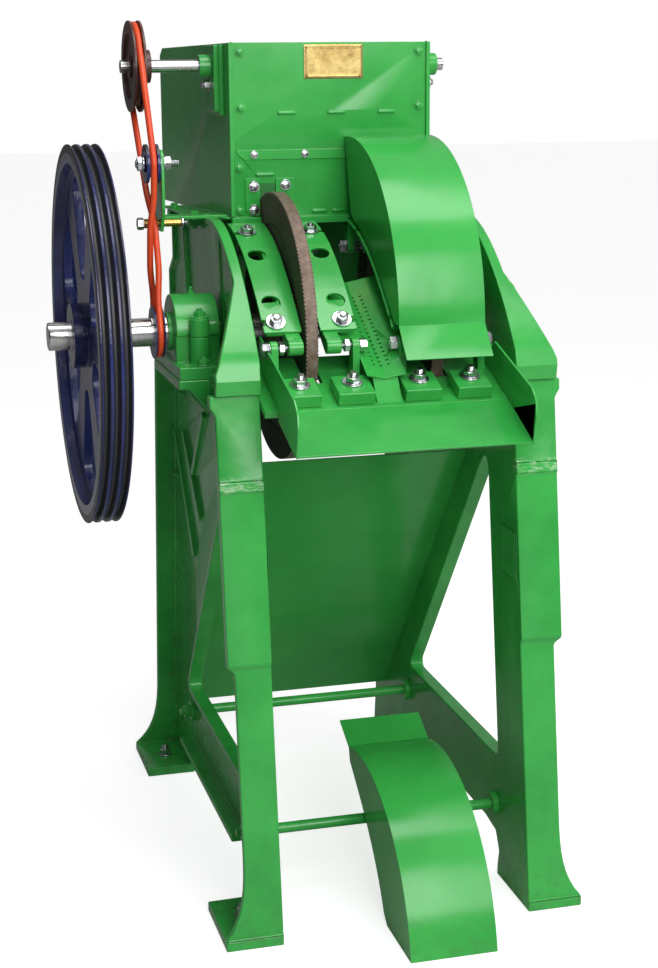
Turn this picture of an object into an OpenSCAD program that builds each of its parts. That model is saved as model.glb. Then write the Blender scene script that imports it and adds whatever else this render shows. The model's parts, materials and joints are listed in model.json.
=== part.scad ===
// Two-disc coffee pulper on a cast frame, driven by a large grooved pulley.
// X runs to the right, Y to the back, Z up. The origin is on the floor, at the middle of the foot bolts.

/* [Frame] */
// Inner face of each side casting from the middle
frame_in = 243; // [241:1:248]
// Thickness of the cast webs
web_t = 12; // [9:1:14]
// Height of the leg castings
leg_h = 1020; // [980:1:1060]
// Height of the side plates above the legs
cheek_h = 280; // [276:1:286]
// Front face of the legs at their top
leg_front = 394; // [390:1:400]
// Rear face of the legs at their top
leg_rear = 395; // [385:1:405]
// Forward lean of the front leg per unit of height
front_lean = 0.134; // [0.126:0.002:0.142]
// Backward lean of the rear leg per unit of height
rear_lean = 0.128; // [0.12:0.002:0.136]
// Width of the front column of the leg
column_w = 150; // [140:1:160]
// Outer edge of the upper front flange
flange_upper = 326; // [320:1:332]
// Outer edge of the lower front flange
flange_lower = 312; // [306:1:318]
// Thickness of the leg's flanges
flange_t = 14; // [11:1:16]
// Outer edge of the feet
foot_out = 352; // [346:1:360]
// Thickness of the feet
foot_t = 20; // [14:1:24]
// Foot bolts, from the middle to each side
bolt_x = 298; // [290:1:306]
// Foot bolts, from the middle to the front and back
bolt_y = 424; // [415:1:430]
// Radius of the foot bolt holes
bolt_r = 9; // [7:0.5:11]
// Radius of the tie rods
rod_r = 10.5; // [9:0.5:12]

/* [Shaft and discs] */
// Height of the main shaft above the legs
shaft_z = 76; // [72:1:79]
// Distance of the main shaft to the front of the origin
shaft_front = 90.6; // [88:0.2:93]
// Radius of the main shaft
shaft_r = 27.5; // [24:0.5:29]
// Radius of the pulping discs
disc_r = 258.5; // [250:0.5:262]
// Thickness of the pulping discs
disc_t = 23; // [20:1:25]
// Middle of each disc from the middle of the pair
disc_x = 121.5; // [120:0.5:122]
// Middle of the pair of discs from the middle of the frame
mid_x = -8; // [-9:0.5:0]
// Ribs round the outer zone of each disc face
outer_ribs = 120; // [60:4:128]
// Ribs round the inner zone of each disc face
inner_ribs = 40; // [32:4:48]

/* [Drive pulley] */
// Radius of the drive pulley
pulley_r = 360; // [345:1:370]
// Width of the drive pulley
pulley_w = 57; // [54:1:62]
// Left face of the drive pulley rim, from the middle
pulley_left = 534; // [530:1:540]
// Depth of the belt grooves in the rim
groove_d = 15; // [12:0.5:16]

/* [Belt drive] */
// Radius of the round belt
belt_r = 6.2; // [5:0.1:6.4]
// Middle of the belt from the middle of the machine
belt_x = 374; // [372:0.5:378]
// Depth of the feed shaft below the hopper's rim
feed_z = 44; // [40:1:50]
// Distance of the feed shaft behind the origin
feed_y = 88; // [84:1:92]
// Radius of the feed shaft
feed_r = 12.5; // [10:0.5:13]
// Belt line radius of the feed pulley
feed_line = 80; // [74:1:84]
// Belt line radius of the sheave on the main shaft
sheave_line = 44; // [40:1:48]
// Belt line radius of the jockey pulley
jockey_line = 32; // [29:1:34]

/* [Hopper] */
// Half the width of the hopper at its front
hopper_half = 197; // [195:1:199]
// Height of the hopper's rim above the side plates
hopper_top = 340; // [336:1:360]
// Thickness of the sheet metal
sheet_t = 4; // [3:0.5:4.5]
// Depth of the hopper
hopper_depth = 575; // [565:1:580]

/* [Chops] */
// Height of the lower adjusting screws above the legs
low_screw_z = 74; // [72:1:76]
// Depth of the upper adjusting screws below the side plates' top
high_screw_z = 60; // [56:1:64]
// Radius of the adjusting screws
screw_r = 6; // [5:0.5:6.5]
// Radius of the round holes in the cover plates
hole_r = 17.5; // [14:0.5:19]

/* [Disc covers] */
// Width of a disc cover
cover_w = 168; // [166:1:170]
// Outer radius of a disc cover
cover_r = 337; // [334:1:339]
// Thickness of a disc cover
cover_t = 2.5; // [2:0.5:3]

/* [Hidden] */
$fn = 48;

green = "limegreen";
zinc = "silver";
navy = "midnightblue";
shaft_y = -shaft_front;
// Heights above the floor
hopper_base = leg_h + cheek_h;
rim_z = hopper_base + hopper_top;
shaft_at = leg_h + shaft_z;
feed_at = rim_z - feed_z;
low_screw_at = leg_h + low_screw_z;
high_screw_at = hopper_base - high_screw_z;
running_gap = 0.06;
seat_gap = 0.3;

// Point of a cubic curve, and a row of points along it
function bez(a, b, c, d, t) = pow(1-t, 3)*a + 3*t*pow(1-t, 2)*b + 3*t*t*(1-t)*c + t*t*t*d;
function curve(a, b, c, d, n) = [for (i = [0:n]) bez(a, b, c, d, i/n)];
function unit(v) = v/norm(v);
function left_of(u) = [-u[1], u[0]];
// Normal of a path at one of its points
function path_normal(p, i) = left_of(unit(p[min(i+1, len(p)-1)] - p[max(i-1, 0)]));
function shifted(p, d) = [for (i = [0:len(p)-1]) p[i] + d*path_normal(p, i)];
function reversed(p) = [for (i = [len(p)-1:-1:0]) p[i]];
function band(p, d) = concat(p, reversed(shifted(p, d)));
function layer(p, d0, d1) = concat(shifted(p, d0), reversed(shifted(p, d1)));
function arc(c, r, a0, a1, n) = [for (i = [0:n]) let (a = a0 + (a1-a0)*i/n) c + r*[cos(a), sin(a)]];
// Closed outline moved outwards by d, each corner on its own two edges
function outset(p, d) = [for (i = [0:len(p)-1]) let (n = len(p), b = p[i], u = left_of(unit(b - p[(i+n-1)%n])),
    v = left_of(unit(p[(i+1)%n] - b)), m = unit(u + v)) b + m*d/(m*u)];
// Closed outline with each corner eased over the length e[i]
function eased(p, e, n) = [for (i = [0:len(p)-1]) let (k = len(p), b = p[i], a = b + e[i]*unit(p[(i+k-1)%k] - b),
    c = b + e[i]*unit(p[(i+1)%k] - b)) for (j = [0:n]) let (t = j/n) (1-t)*(1-t)*a + 2*t*(1-t)*b + t*t*c];

// A profile in Y and Z carried along X
module along_x(x0, w) {
    translate([x0, 0, 0]) rotate([90, 0, 90]) linear_extrude(w) children();
}
// A profile in X and Z carried along Y
module along_y(y0, d) {
    translate([0, y0 + d, 0]) rotate([90, 0, 0]) linear_extrude(d) children();
}
module x_rod(x0, x1, y, z, r) {
    translate([x0, y, z]) rotate([0, 90, 0]) cylinder(h = x1 - x0, r = r);
}
module x_hex(x0, x1, y, z, r) {
    translate([x0, y, z]) rotate([0, 90, 0]) cylinder(h = x1 - x0, r = r, $fn = 6);
}
module both_sides() {
    children();
    mirror([1, 0, 0]) children();
}
// The same on both sides of the middle of the pair of discs
module about_discs() {
    translate([mid_x, 0, 0]) both_sides() children();
}
// Hexagon bolt head with its washer, standing on Z = 0
module hex_bolt(r, head, washer_r, washer_t) {
    cylinder(h = washer_t, r = washer_r);
    translate([0, 0, washer_t]) cylinder(h = head, r = r, $fn = 6);
}

// Side castings
function front_y(z) = -leg_front - front_lean*(leg_h - z);
function rear_y(z) = leg_rear + rear_lean*(leg_h - z);
bar_top = 250;
bar_bottom = 98;
front_foot_back = -352;
rear_foot_front = 344;
brace_foot = [201, 299];
brace_slope = 1.24;
step_z = 521;
proud = 7;
rod_front = [-338, 148];
rod_rear = [250, 187];
rod_end_r = 8;
boss_x = 268;
leg_outline = [[front_y(0), 0], [front_y(leg_h), leg_h], [rear_y(leg_h), leg_h], [rear_y(0), 0],
    [rear_foot_front, 0], [rear_foot_front, foot_t], [330, 60], [290, bar_bottom], [-279, bar_bottom],
    [-340, 88], [-360, 54], [front_foot_back, foot_t], [front_foot_back, 0]];
// The window's apex is where the brace meets the column
apex_z = (brace_foot[0] + brace_foot[1]/brace_slope + leg_front + front_lean*leg_h - column_w)
    /(front_lean + 1/brace_slope);
window = eased([[front_y(apex_z) + column_w, apex_z],
    [brace_foot[0] + (brace_foot[1] - bar_top)/brace_slope, bar_top],
    [front_y(bar_top) + column_w, bar_top]], [70, 36, 20], 5);
rib_w = 16;
ribs = [[[385, 802], [180, 566]], [[277, 820], [108, 664]], [[44, 902], [180, 748]]];
rear_flange_out = 300;
table_out = 358;
table_half = 132;
table_t = 18;
joint_bolts = [-330, 130, 330];
joint_bolt_x = 278;
band_z = 846;
band_w = 20;

module leg_front_flange() {
    face = [[front_y(0), 0], [front_y(leg_h), leg_h]];
    intersection() {
        along_x(frame_in, foot_out) polygon(concat([face[0]], [[front_y(step_z), step_z],
            [front_y(step_z + 12) - proud, step_z + 12], [front_y(leg_h) - proud, leg_h],
            [front_y(leg_h) + flange_t, leg_h], [front_y(0) + flange_t, 0]]));
        along_y(-700, 600) polygon(concat([[frame_in, 0], [foot_out, 0]],
            curve([foot_out, foot_t], [flange_lower + 4, 60], [flange_lower, 110], [flange_lower, 180], 8),
            [[flange_lower, step_z - 6], [flange_upper, step_z + 6], [flange_upper, leg_h - 36],
            [flange_upper + 10, leg_h - 20], [flange_upper + 10, leg_h], [frame_in, leg_h]]));
    }
}
module leg_rear_flange() {
    intersection() {
        along_x(frame_in, foot_out) polygon(band([[rear_y(0), 0], [rear_y(leg_h), leg_h]], flange_t));
        along_y(300, 300) polygon(concat([[frame_in, 0], [foot_out, 0]],
            curve([foot_out, foot_t], [rear_flange_out + 16, 50], [rear_flange_out + 2, 90],
                [rear_flange_out, 160], 8), [[rear_flange_out, leg_h], [frame_in, leg_h]]));
    }
}
module leg() {
    difference() {
        union() {
            along_x(frame_in, web_t) difference() {
                polygon(leg_outline);
                polygon(window);
            }
            along_x(frame_in, 30) difference() {
                polygon(outset(window, 11));
                polygon(window);
            }
            leg_front_flange();
            leg_rear_flange();
            for (y = [front_y(0), rear_foot_front])
                translate([frame_in, y, 0]) cube([foot_out - frame_in, front_foot_back - front_y(0), foot_t]);
            translate([frame_in, front_y(leg_h) + 1, leg_h - flange_t])
                cube([rear_flange_out - frame_in, leg_front + leg_rear - 2, flange_t]);
            translate([frame_in, shaft_y - table_half, leg_h - table_t])
                cube([table_out - frame_in, 2*table_half, table_t]);
            for (y = [-table_half, table_half - web_t]) translate([0, shaft_y + y + web_t, 0]) rotate([90, 0, 0])
                linear_extrude(web_t) polygon([[frame_in, leg_h - 130], [table_out - 20, leg_h - table_t],
                    [frame_in, leg_h - table_t]]);
            translate([frame_in, -270, bar_bottom]) cube([43, 560, flange_t]);
            for (r = ribs) along_x(frame_in, web_t + 10) polygon(layer(r, -rib_w/2, rib_w/2));
            for (r = [rod_front, rod_rear]) x_rod(frame_in, boss_x, r[0], r[1], 22);
            // Raised pad on the inner face of the front column
            translate([frame_in - 4, -431, 640]) cube([5, 73, 93]);
            // Raised bend band across the front flange
            intersection() {
                along_x(frame_in, flange_upper - frame_in) polygon([[front_y(band_z) - proud - 3, band_z],
                    [front_y(band_z + band_w) - proud - 3, band_z + band_w], [front_y(band_z + band_w) + 2,
                    band_z + band_w + 4], [front_y(band_z) + 2, band_z - 4]]);
                translate([frame_in, -700, 0]) cube([flange_upper - frame_in, 600, leg_h]);
            }
        }
        for (y = [-bolt_y, bolt_y]) translate([bolt_x, y, -1]) cylinder(h = foot_t + 2, r = bolt_r);
        for (r = [rod_front, rod_rear])
            x_rod(frame_in - 1, boss_x + 1, r[0], r[1], rod_end_r + seat_gap);
        for (y = joint_bolts) translate([joint_bolt_x, y, leg_h - 40]) cylinder(h = 60, r = screw_r + seat_gap);
    }
}
module left_leg() { color(green) mirror([1, 0, 0]) leg(); }
module right_leg() { color(green) leg(); }

cheek_rear = 345;
cheek_curve = curve([-80, leg_h + 288], [-205, leg_h + 280], [-330, leg_h + 170], [-408, leg_h + 58], 16);
cheek_end = [[-416, leg_h + 28], [-411, leg_h]];
knee_z = leg_h + 143;
knee_rise = 33;
cheek_outline = concat([[-30, leg_h + 288]], cheek_curve, cheek_end, [[leg_rear, leg_h],
    [leg_rear, knee_z], [cheek_rear, knee_z + knee_rise], [cheek_rear, hopper_base], [-22, hopper_base]]);
cheek_edge = concat([[-30, leg_h + 288]], cheek_curve, cheek_end);
cheek_rim = 12;
// Each rib's foot and its height over the web
cheek_ribs = [[-160, 2], [180, 8]];
flange_bolt_y = [70, 290];
flange_bolt_x = frame_in + web_t + 10;
flange_out = frame_in + web_t + 24;
module cheek() {
    difference() {
        union() {
            along_x(frame_in, web_t) polygon(cheek_outline);
            intersection() {
                along_x(frame_in, 100) polygon(band(cheek_edge, cheek_rim));
                along_y(-500, 520) polygon([[frame_in, leg_h], [flange_upper, leg_h], [flange_upper, leg_h + 40],
                    [263, leg_h + 191], [263, leg_h + 380], [frame_in, leg_h + 380]]);
            }
            along_x(frame_in, 20) polygon([[leg_rear, leg_h], [leg_rear, knee_z], [cheek_rear, knee_z + knee_rise],
                [cheek_rear, hopper_base], [cheek_rear - cheek_rim, hopper_base],
                [cheek_rear - cheek_rim, knee_z + knee_rise - 6], [leg_rear - cheek_rim, knee_z - 6],
                [leg_rear - cheek_rim, leg_h]]);
            for (y = [[-395, -236], [60, 390]]) translate([frame_in, y[0], leg_h])
                cube([rear_flange_out - frame_in, y[1] - y[0], flange_t]);
            for (r = cheek_ribs) along_x(frame_in, web_t + r[1])
                polygon(layer([[r[0], leg_h + flange_t], [r[0] + 40, hopper_base - 2]], -8, 8));
            // Lugs for the bolts of the hopper's flange
            for (y = flange_bolt_y) translate([frame_in + web_t - 1, y - 14, hopper_base - 16])
                cube([flange_out - frame_in - web_t + 1, 28, 16]);
        }
        x_rod(frame_in - 1, frame_in + web_t + 9, shaft_y, shaft_at, shaft_r + 6);
        for (y = joint_bolts) translate([joint_bolt_x, y, leg_h - 1])
            cylinder(h = 40, r = screw_r + seat_gap);
        for (y = flange_bolt_y) translate([flange_bolt_x, y, hopper_base - 17])
            cylinder(h = 18, r = screw_r + seat_gap);
    }
}
module left_cheek() { color(green) mirror([1, 0, 0]) cheek(); }
module right_cheek() { color(green) cheek(); }

module tie_rods() {
    color(green) for (r = [rod_front, rod_rear]) {
        x_rod(-frame_in, frame_in, r[0], r[1], rod_r);
        both_sides() {
            x_rod(frame_in - 12, frame_in, r[0], r[1], 24);
            x_rod(frame_in - 1, boss_x + 22, r[0], r[1], rod_end_r);
        }
    }
}
module tie_rod_nuts() {
    color(green) both_sides() for (r = [rod_front, rod_rear]) difference() {
        x_hex(boss_x, boss_x + 13, r[0], r[1], 15);
        x_rod(boss_x - 1, boss_x + 14, r[0], r[1], rod_end_r + 0.1);
    }
}

// Plummer blocks
bearing_x = 258;
bearing_w = 97;
block_foot = 24;
block_r = 66;
bush_r = 37;
bush_x = 256;
bush_end = 357;
cap_bolt_y = 84;
foot_bolt_y = 117;
boss_r = 19;
bearing_mid = bearing_x + bearing_w/2;
module bearing_bases() {
    color(green) both_sides() difference() {
        union() {
            translate([bearing_x, shaft_y - 130, leg_h]) cube([bearing_w, 260, block_foot]);
            along_x(bearing_x + 6, bearing_w - 12) polygon([[shaft_y - block_r, leg_h],
                [shaft_y - block_r, shaft_at], [shaft_y + block_r, shaft_at], [shaft_y + block_r, leg_h]]);
            for (s = [-1, 1]) translate([bearing_mid, shaft_y + s*cap_bolt_y, leg_h])
                cylinder(h = shaft_z, r = boss_r);
        }
        x_rod(bearing_x - 1, bearing_x + bearing_w + 1, shaft_y, shaft_at, bush_r);
    }
}
module bearing_caps() {
    color(green) both_sides() difference() {
        union() {
            x_rod(bearing_x + 6, bearing_x + bearing_w - 6, shaft_y, shaft_at, block_r + 6);
            for (s = [-1, 1]) translate([bearing_mid, shaft_y + s*cap_bolt_y, shaft_at - 1])
                cylinder(h = 36, r = boss_r);
        }
        translate([bearing_x - 1, shaft_y - 120, shaft_at - 200]) cube([bearing_w + 2, 240, 200 + seat_gap]);
        x_rod(bearing_x - 1, bearing_x + bearing_w + 1, shaft_y, shaft_at, bush_r);
    }
}
module bearing_bushes() {
    color("goldenrod") both_sides() difference() {
        x_rod(bush_x, bush_end, shaft_y, shaft_at, bush_r);
        x_rod(bush_x - 1, bush_end + 1, shaft_y, shaft_at, shaft_r + running_gap);
    }
}
module frame_bolts() {
    color(zinc) both_sides() {
        for (y = joint_bolts) translate([joint_bolt_x, y, leg_h + flange_t]) {
            hex_bolt(11, 9, 15, 2.5);
            translate([0, 0, -2*flange_t - 8]) cylinder(h = 2*flange_t + 9, r = screw_r);
        }
        for (s = [-1, 1]) {
            translate([bearing_mid, shaft_y + s*cap_bolt_y, shaft_at + 35]) hex_bolt(12, 10, 17, 3);
            translate([bearing_mid, shaft_y + s*foot_bolt_y, leg_h + block_foot]) hex_bolt(12, 10, 12.5, 3);
        }
    }
}

// Main shaft and what turns with it
shaft_left = -585;
shaft_right = 368;
shaft_ease = 2;
// The free end before the pulley's hub is turned down a little
shaft_end = -542;
shaft_end_r = shaft_r - 0.5;
key_w = 14;
key_h = 9;
key_sink = 5;
key_pull = [-541, -488];
key_sheave = [-388, -358];
// The keys stand to the front by this angle
key_turn = 40;
disc_at = [mid_x - disc_x, mid_x + disc_x];
key_half = 30;
key_spans = [key_pull, key_sheave, [disc_at[0] - key_half, disc_at[0] + key_half],
    [disc_at[1] - key_half, disc_at[1] + key_half]];
// Bar along X on the shaft's surface at the keys' angle
module key_bar(x0, x1, h) {
    translate([x0, shaft_y, shaft_at]) rotate([key_turn, 0, 0]) translate([0, -key_w/2, shaft_r - key_sink])
        cube([x1 - x0, key_w, h]);
}
module main_shaft() {
    color(zinc) difference() {
        translate([0, shaft_y, shaft_at]) rotate([0, 90, 0]) rotate_extrude() polygon([[0, shaft_left],
            [shaft_end_r - shaft_ease, shaft_left], [shaft_end_r, shaft_left + shaft_ease], [shaft_end_r, shaft_end],
            [shaft_r, shaft_end], [shaft_r, shaft_right - shaft_ease], [shaft_r - shaft_ease, shaft_right],
            [0, shaft_right]]);
        for (k = key_spans) key_bar(k == key_pull ? shaft_left - 1 : k[0], k[1], 20);
    }
}
module shaft_keys() {
    color(zinc) for (k = key_spans) key_bar(k[0] + 0.5, k[1] - 0.5, key_h);
}
module keyed_bore(x0, x1) {
    x_rod(x0, x1, 0, 0, shaft_r);
    rotate([key_turn, 0, 0]) translate([x0, -key_w/2, 0]) cube([x1 - x0, key_w, shaft_r - key_sink + key_h]);
}
disc_hub_r = 60;
disc_hub_half = 34;
rib_h = 3;
zone_r = 200;
inner_zone_r = 110;
// Outline with n teeth between the radii r0 and r1, each leaning by skew degrees
function slanted(r0, r1, n, skew, fill) = [for (i = [0:n-1]) let (a = 360*i/n, w = 360*fill/n)
    for (p = [[r0, a], [r1, a + skew], [r1, a + skew + w], [r0, a + w]]) p[0]*[cos(p[1]), sin(p[1])]];
module disc() {
    core = disc_t/2 - rib_h;
    difference() {
        union() {
            rotate([0, 90, 0]) cylinder(h = 2*core, r = disc_r, center = true, $fn = 120);
            x_rod(-disc_hub_half, disc_hub_half, 0, 0, disc_hub_r);
            for (s = [0, 1]) mirror([s, 0, 0]) along_x(core - 1, rib_h + 1) {
                difference() {
                    polygon(slanted(zone_r + 1, disc_r - 0.5, outer_ribs, 6, 0.5));
                    circle(r = zone_r + 4, $fn = 96);
                }
                polygon(slanted(inner_zone_r, zone_r, inner_ribs, -9, 0.5));
            }
        }
        keyed_bore(-50, 50);
    }
}
module left_disc() { color("dimgray") translate([disc_at[0], shaft_y, shaft_at]) disc(); }
module right_disc() { color("dimgray") translate([disc_at[1], shaft_y, shaft_at]) disc(); }

// Drive pulley
rim_in = 320;
web_half = 9;
pulley_hub_r = 62;
pulley_hub_half = 35.5;
pulley_mid = -pulley_left + pulley_w/2;
groove_top = 6.5;
groove_foot = 3;
groove_pitch = pulley_w/3;
window_in = 108;
window_out = 304;
function polar(r, a) = r*[cos(a), sin(a)];
function quad(p, q, r, n) = [for (i = [0:n]) let (t = i/n) (1-t)*(1-t)*p + 2*t*(1-t)*q + t*t*r];
// Window between two arms, with all its corners rounded
function pulley_window(a) = let (p = polar(window_out, a - 20), q = polar(window_out, a + 20),
    r = polar(window_in, a + 13), s = polar(window_in, a - 13)) concat(
    quad(p + 0.2*(s - p), p, polar(window_out, a - 13), 5), [for (i = [-9:3:9]) polar(window_out, a + i)],
    quad(polar(window_out, a + 13), q, q + 0.2*(r - q), 5), quad(r + 0.12*(q - r), r, polar(window_in, a + 4), 4),
    quad(polar(window_in, a - 4), s, s + 0.12*(p - s), 4));
rim_section = concat([[rim_in + 5, -pulley_w/2], [pulley_r - 2, -pulley_w/2], [pulley_r, -pulley_w/2 + 2]],
    [for (i = [-1:1]) let (c = i*groove_pitch) for (p = [[pulley_r, c - groove_top],
        [pulley_r - groove_d, c - groove_foot], [pulley_r - groove_d, c + groove_foot],
        [pulley_r, c + groove_top]]) p],
    [[pulley_r, pulley_w/2 - 2], [pulley_r - 2, pulley_w/2], [rim_in + 5, pulley_w/2], [rim_in, 0]]);
module drive_pulley() {
    color(navy) translate([pulley_mid, shaft_y, shaft_at]) difference() {
        union() {
            rotate([0, 90, 0]) rotate_extrude($fn = 144) polygon(rim_section);
            x_rod(-web_half, web_half, 0, 0, rim_in + 9);
            x_rod(-pulley_hub_half, pulley_hub_half, 0, 0, pulley_hub_r);
        }
        for (k = [0:5]) along_x(-web_half - 1, 2*web_half + 2) polygon(pulley_window(30 + 60*k));
        keyed_bore(-pulley_hub_half - 1, pulley_hub_half + 1);
    }
}

// Wheels of the round belt
belt_gap = 0.6;
// Wheel along X whose groove takes the belt at the radius line
module belt_wheel(outer, width, line) {
    bed_r = belt_r + belt_gap;
    difference() {
        x_rod(-width/2, width/2, 0, 0, outer);
        rotate([0, 90, 0]) rotate_extrude($fn = 96) translate([line, 0]) {
            circle(r = bed_r);
            translate([0, -bed_r]) square([outer, 2*bed_r]);
        }
    }
}
sheave_r = 51.5;
sheave_w = 18;
module drive_sheave() {
    color(navy) translate([-belt_x, shaft_y, shaft_at]) difference() {
        belt_wheel(sheave_r, sheave_w, sheave_line);
        keyed_bore(-sheave_w, sheave_w);
    }
}
feed_pulley_r = 88;
feed_pulley_w = 24;
feed_hub_r = 32;
feed_hub_end = 30;
module feed_pulley() {
    color("saddlebrown") translate([-belt_x, feed_y, feed_at]) difference() {
        union() {
            belt_wheel(feed_pulley_r, feed_pulley_w, feed_line);
            x_rod(-feed_pulley_w/2 + 1, feed_hub_end, 0, 0, feed_hub_r);
        }
        for (s = [-1, 1]) difference() {
            x_rod(s*feed_pulley_w/2 - 6, s*feed_pulley_w/2 + 6, 0, 0, 64);
            x_rod(-50, 50, 0, 0, s > 0 ? feed_hub_r : 22);
        }
        x_rod(-50, 50, 0, 0, feed_r);
    }
}
feed_left = -402;
feed_right = 262;
module feed_shaft() {
    color(zinc) x_rod(feed_left, feed_right, feed_y, feed_at, feed_r);
}
paddle_half = 176;
paddle_r = 42;
paddle_t = 5;
module feed_agitator() {
    color(green) translate([0, feed_y, feed_at]) difference() {
        union() {
            x_rod(-paddle_half, paddle_half, 0, 0, feed_r + 5);
            for (a = [0:90:270]) rotate([a, 0, 0]) translate([-paddle_half + 6, -paddle_t/2, feed_r + 2])
                cube([2*paddle_half - 12, paddle_t, paddle_r - feed_r - 2]);
        }
        x_rod(-paddle_half - 1, paddle_half + 1, 0, 0, feed_r);
    }
}

// Jockey pulley on its bracket
jockey_at = [-78, hopper_base + 116];
jockey_r = 37;
jockey_w = 29;
pin_r = 8;
module jockey_pulley() {
    color(navy) translate([-belt_x, jockey_at[0], jockey_at[1]]) difference() {
        union() {
            belt_wheel(jockey_r, jockey_w - 3, jockey_line);
            x_rod(-jockey_w/2, jockey_w/2, 0, 0, 14);
        }
        x_rod(-jockey_w, jockey_w, 0, 0, pin_r + running_gap);
    }
}
guide_at = [-44.7, hopper_base + 0.5];
guide_r = 9;
bracket_x = -357;
bracket_t = 6;
bracket_foot_x = 142;
bracket_bolt = [-248, 20];
bracket_wall = concat([[40, hopper_base + sheet_t], [40, hopper_base + 30], [-20, hopper_base + 140]],
    arc([-70, hopper_base + 120], 22, 70, 180, 6), [[-92, hopper_base + 30], [-66, hopper_base - 14],
    [-24, hopper_base - 14], [-12, hopper_base + sheet_t]]);
module jockey_bracket() {
    color(green) difference() {
        union() {
            along_x(bracket_x, bracket_t) polygon(bracket_wall);
            translate([bracket_x, -12, hopper_base + sheet_t]) cube([bracket_foot_x, 52, bracket_t]);
        }
        x_rod(bracket_x - 1, bracket_x + 10, jockey_at[0], jockey_at[1], pin_r + 0.2);
        x_rod(bracket_x - 1, bracket_x + 10, guide_at[0], guide_at[1], 7.2);
        translate([bracket_bolt[0], bracket_bolt[1], hopper_base]) cylinder(h = 20, r = screw_r + seat_gap);
    }
}
module guide_bush() {
    color("goldenrod") difference() {
        union() {
            x_rod(-belt_x - 13, -belt_x + 14, guide_at[0], guide_at[1], guide_r);
            x_rod(-belt_x, bracket_x + 44, guide_at[0], guide_at[1], 7);
        }
        x_rod(-belt_x - 20, bracket_x + 50, guide_at[0], guide_at[1], 4.1);
    }
}
module belt_bolts() {
    color(zinc) {
        // Jockey pin, with its nuts and washers
        x_rod(-belt_x - 30, bracket_x + 36, jockey_at[0], jockey_at[1], pin_r);
        x_hex(-belt_x - 27, -belt_x - 18, jockey_at[0], jockey_at[1], 14);
        x_rod(-belt_x - 18, -belt_x - jockey_w/2 - 0.3, jockey_at[0], jockey_at[1], 17);
        x_rod(-belt_x + jockey_w/2 + 0.3, bracket_x, jockey_at[0], jockey_at[1], 15);
        x_rod(bracket_x + bracket_t, bracket_x + bracket_t + 3, jockey_at[0], jockey_at[1], 16);
        x_hex(bracket_x + bracket_t + 3, bracket_x + bracket_t + 14, jockey_at[0], jockey_at[1], 14);
        x_rod(-belt_x - 24, bracket_x + 56, guide_at[0], guide_at[1], 4);
        x_hex(-belt_x - 25, -belt_x - 13.2, guide_at[0], guide_at[1], 12);
        x_rod(bracket_x + 44.2, bracket_x + 48, guide_at[0], guide_at[1], 11);
    }
}

// Path of the belt: wheels in the order of travel, each with its side of turning
wheels = [[[feed_y, feed_at], feed_line, -1, 24], [guide_at, guide_r + belt_r + 0.4, 1, 4],
    [[shaft_y, shaft_at], sheave_line, 1, 20], [jockey_at, jockey_line, -1, 4]];
function wheel(i) = wheels[(i + 4) % 4];
// Heading of the straight run from one wheel to the next
function heading(a, b) = let (d = b[0] - a[0], k = (b[2]*b[1] - a[2]*a[1])/norm(d), s = sqrt(1 - k*k), u = unit(d))
    s*u - k*left_of(u);
function leave(a, b) = a[0] - a[2]*a[1]*left_of(heading(a, b));
function meet(a, b) = b[0] - b[2]*b[1]*left_of(heading(a, b));
function angle_at(c, p) = atan2(p[1] - c[1], p[0] - c[0]);
function turn(a, b, s) = let (d = s*(b - a)) s*(d - 360*floor(d/360));
function on_wheel(i) = let (w = wheel(i), a = angle_at(w[0], meet(wheel(i-1), w)),
    b = angle_at(w[0], leave(w, wheel(i+1))), t = turn(a, b, w[2])) [for (j = [0:w[3]]) w[0] + w[1]*polar(1, a + t*j/w[3])];
function run(i, n) = let (p = leave(wheel(i), wheel(i+1)), q = meet(wheel(i), wheel(i+1)))
    [for (j = [1:n-1]) p + (q - p)*j/n];
// Where the two strands below the guide bush cross
strand_a = [leave(wheel(1), wheel(2)), heading(wheel(1), wheel(2))];
strand_b = [meet(wheel(2), wheel(3)), heading(wheel(2), wheel(3))];
function cross2(a, b) = a[0]*b[1] - a[1]*b[0];
cross_z = (strand_a[0] + strand_a[1]*cross2(strand_b[0] - strand_a[0], strand_b[1])
    /cross2(strand_a[1], strand_b[1]))[1];
belt_pass = belt_r + 0.4;
pass_flat = 26;
pass_ease = 50;
function sidestep(z) = let (t = max(0, min(1, (abs(z - cross_z) - pass_flat)/pass_ease))) belt_pass*(1 + cos(180*t))/2;
// Points of the belt in X, Y and Z
function put(points, side) = [for (p = points) [-belt_x + side*sidestep(p[1]), p[0], p[1]]];
belt_points = concat(put(on_wheel(0), 1), put(run(0, 3), 1), put(on_wheel(1), 1), put(run(1, 12), 1),
    put(on_wheel(2), 1), put(run(2, 14), -1), put(on_wheel(3), -1), put(run(3, 2), -1));
belt_sides = 8;
module drive_belt() {
    n = len(belt_points);
    ring = [for (i = [0:n-1]) let (d = unit(belt_points[(i+1)%n] - belt_points[(i+n-1)%n]),
        u = unit(cross([1, 0, 0], d)), v = cross(d, u))
        for (j = [0:belt_sides-1]) let (a = 360*(j + 0.5)/belt_sides) belt_points[i] + belt_r*(cos(a)*u + sin(a)*v)];
    color("orangered") polyhedron(ring, [for (i = [0:n-1], j = [0:belt_sides-1]) let (k = (j + 1)%belt_sides,
        m = (i + 1)%n) for (f = [[i*belt_sides + j, i*belt_sides + k, m*belt_sides + k],
        [i*belt_sides + j, m*belt_sides + k, m*belt_sides + j]]) f]);
}

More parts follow.
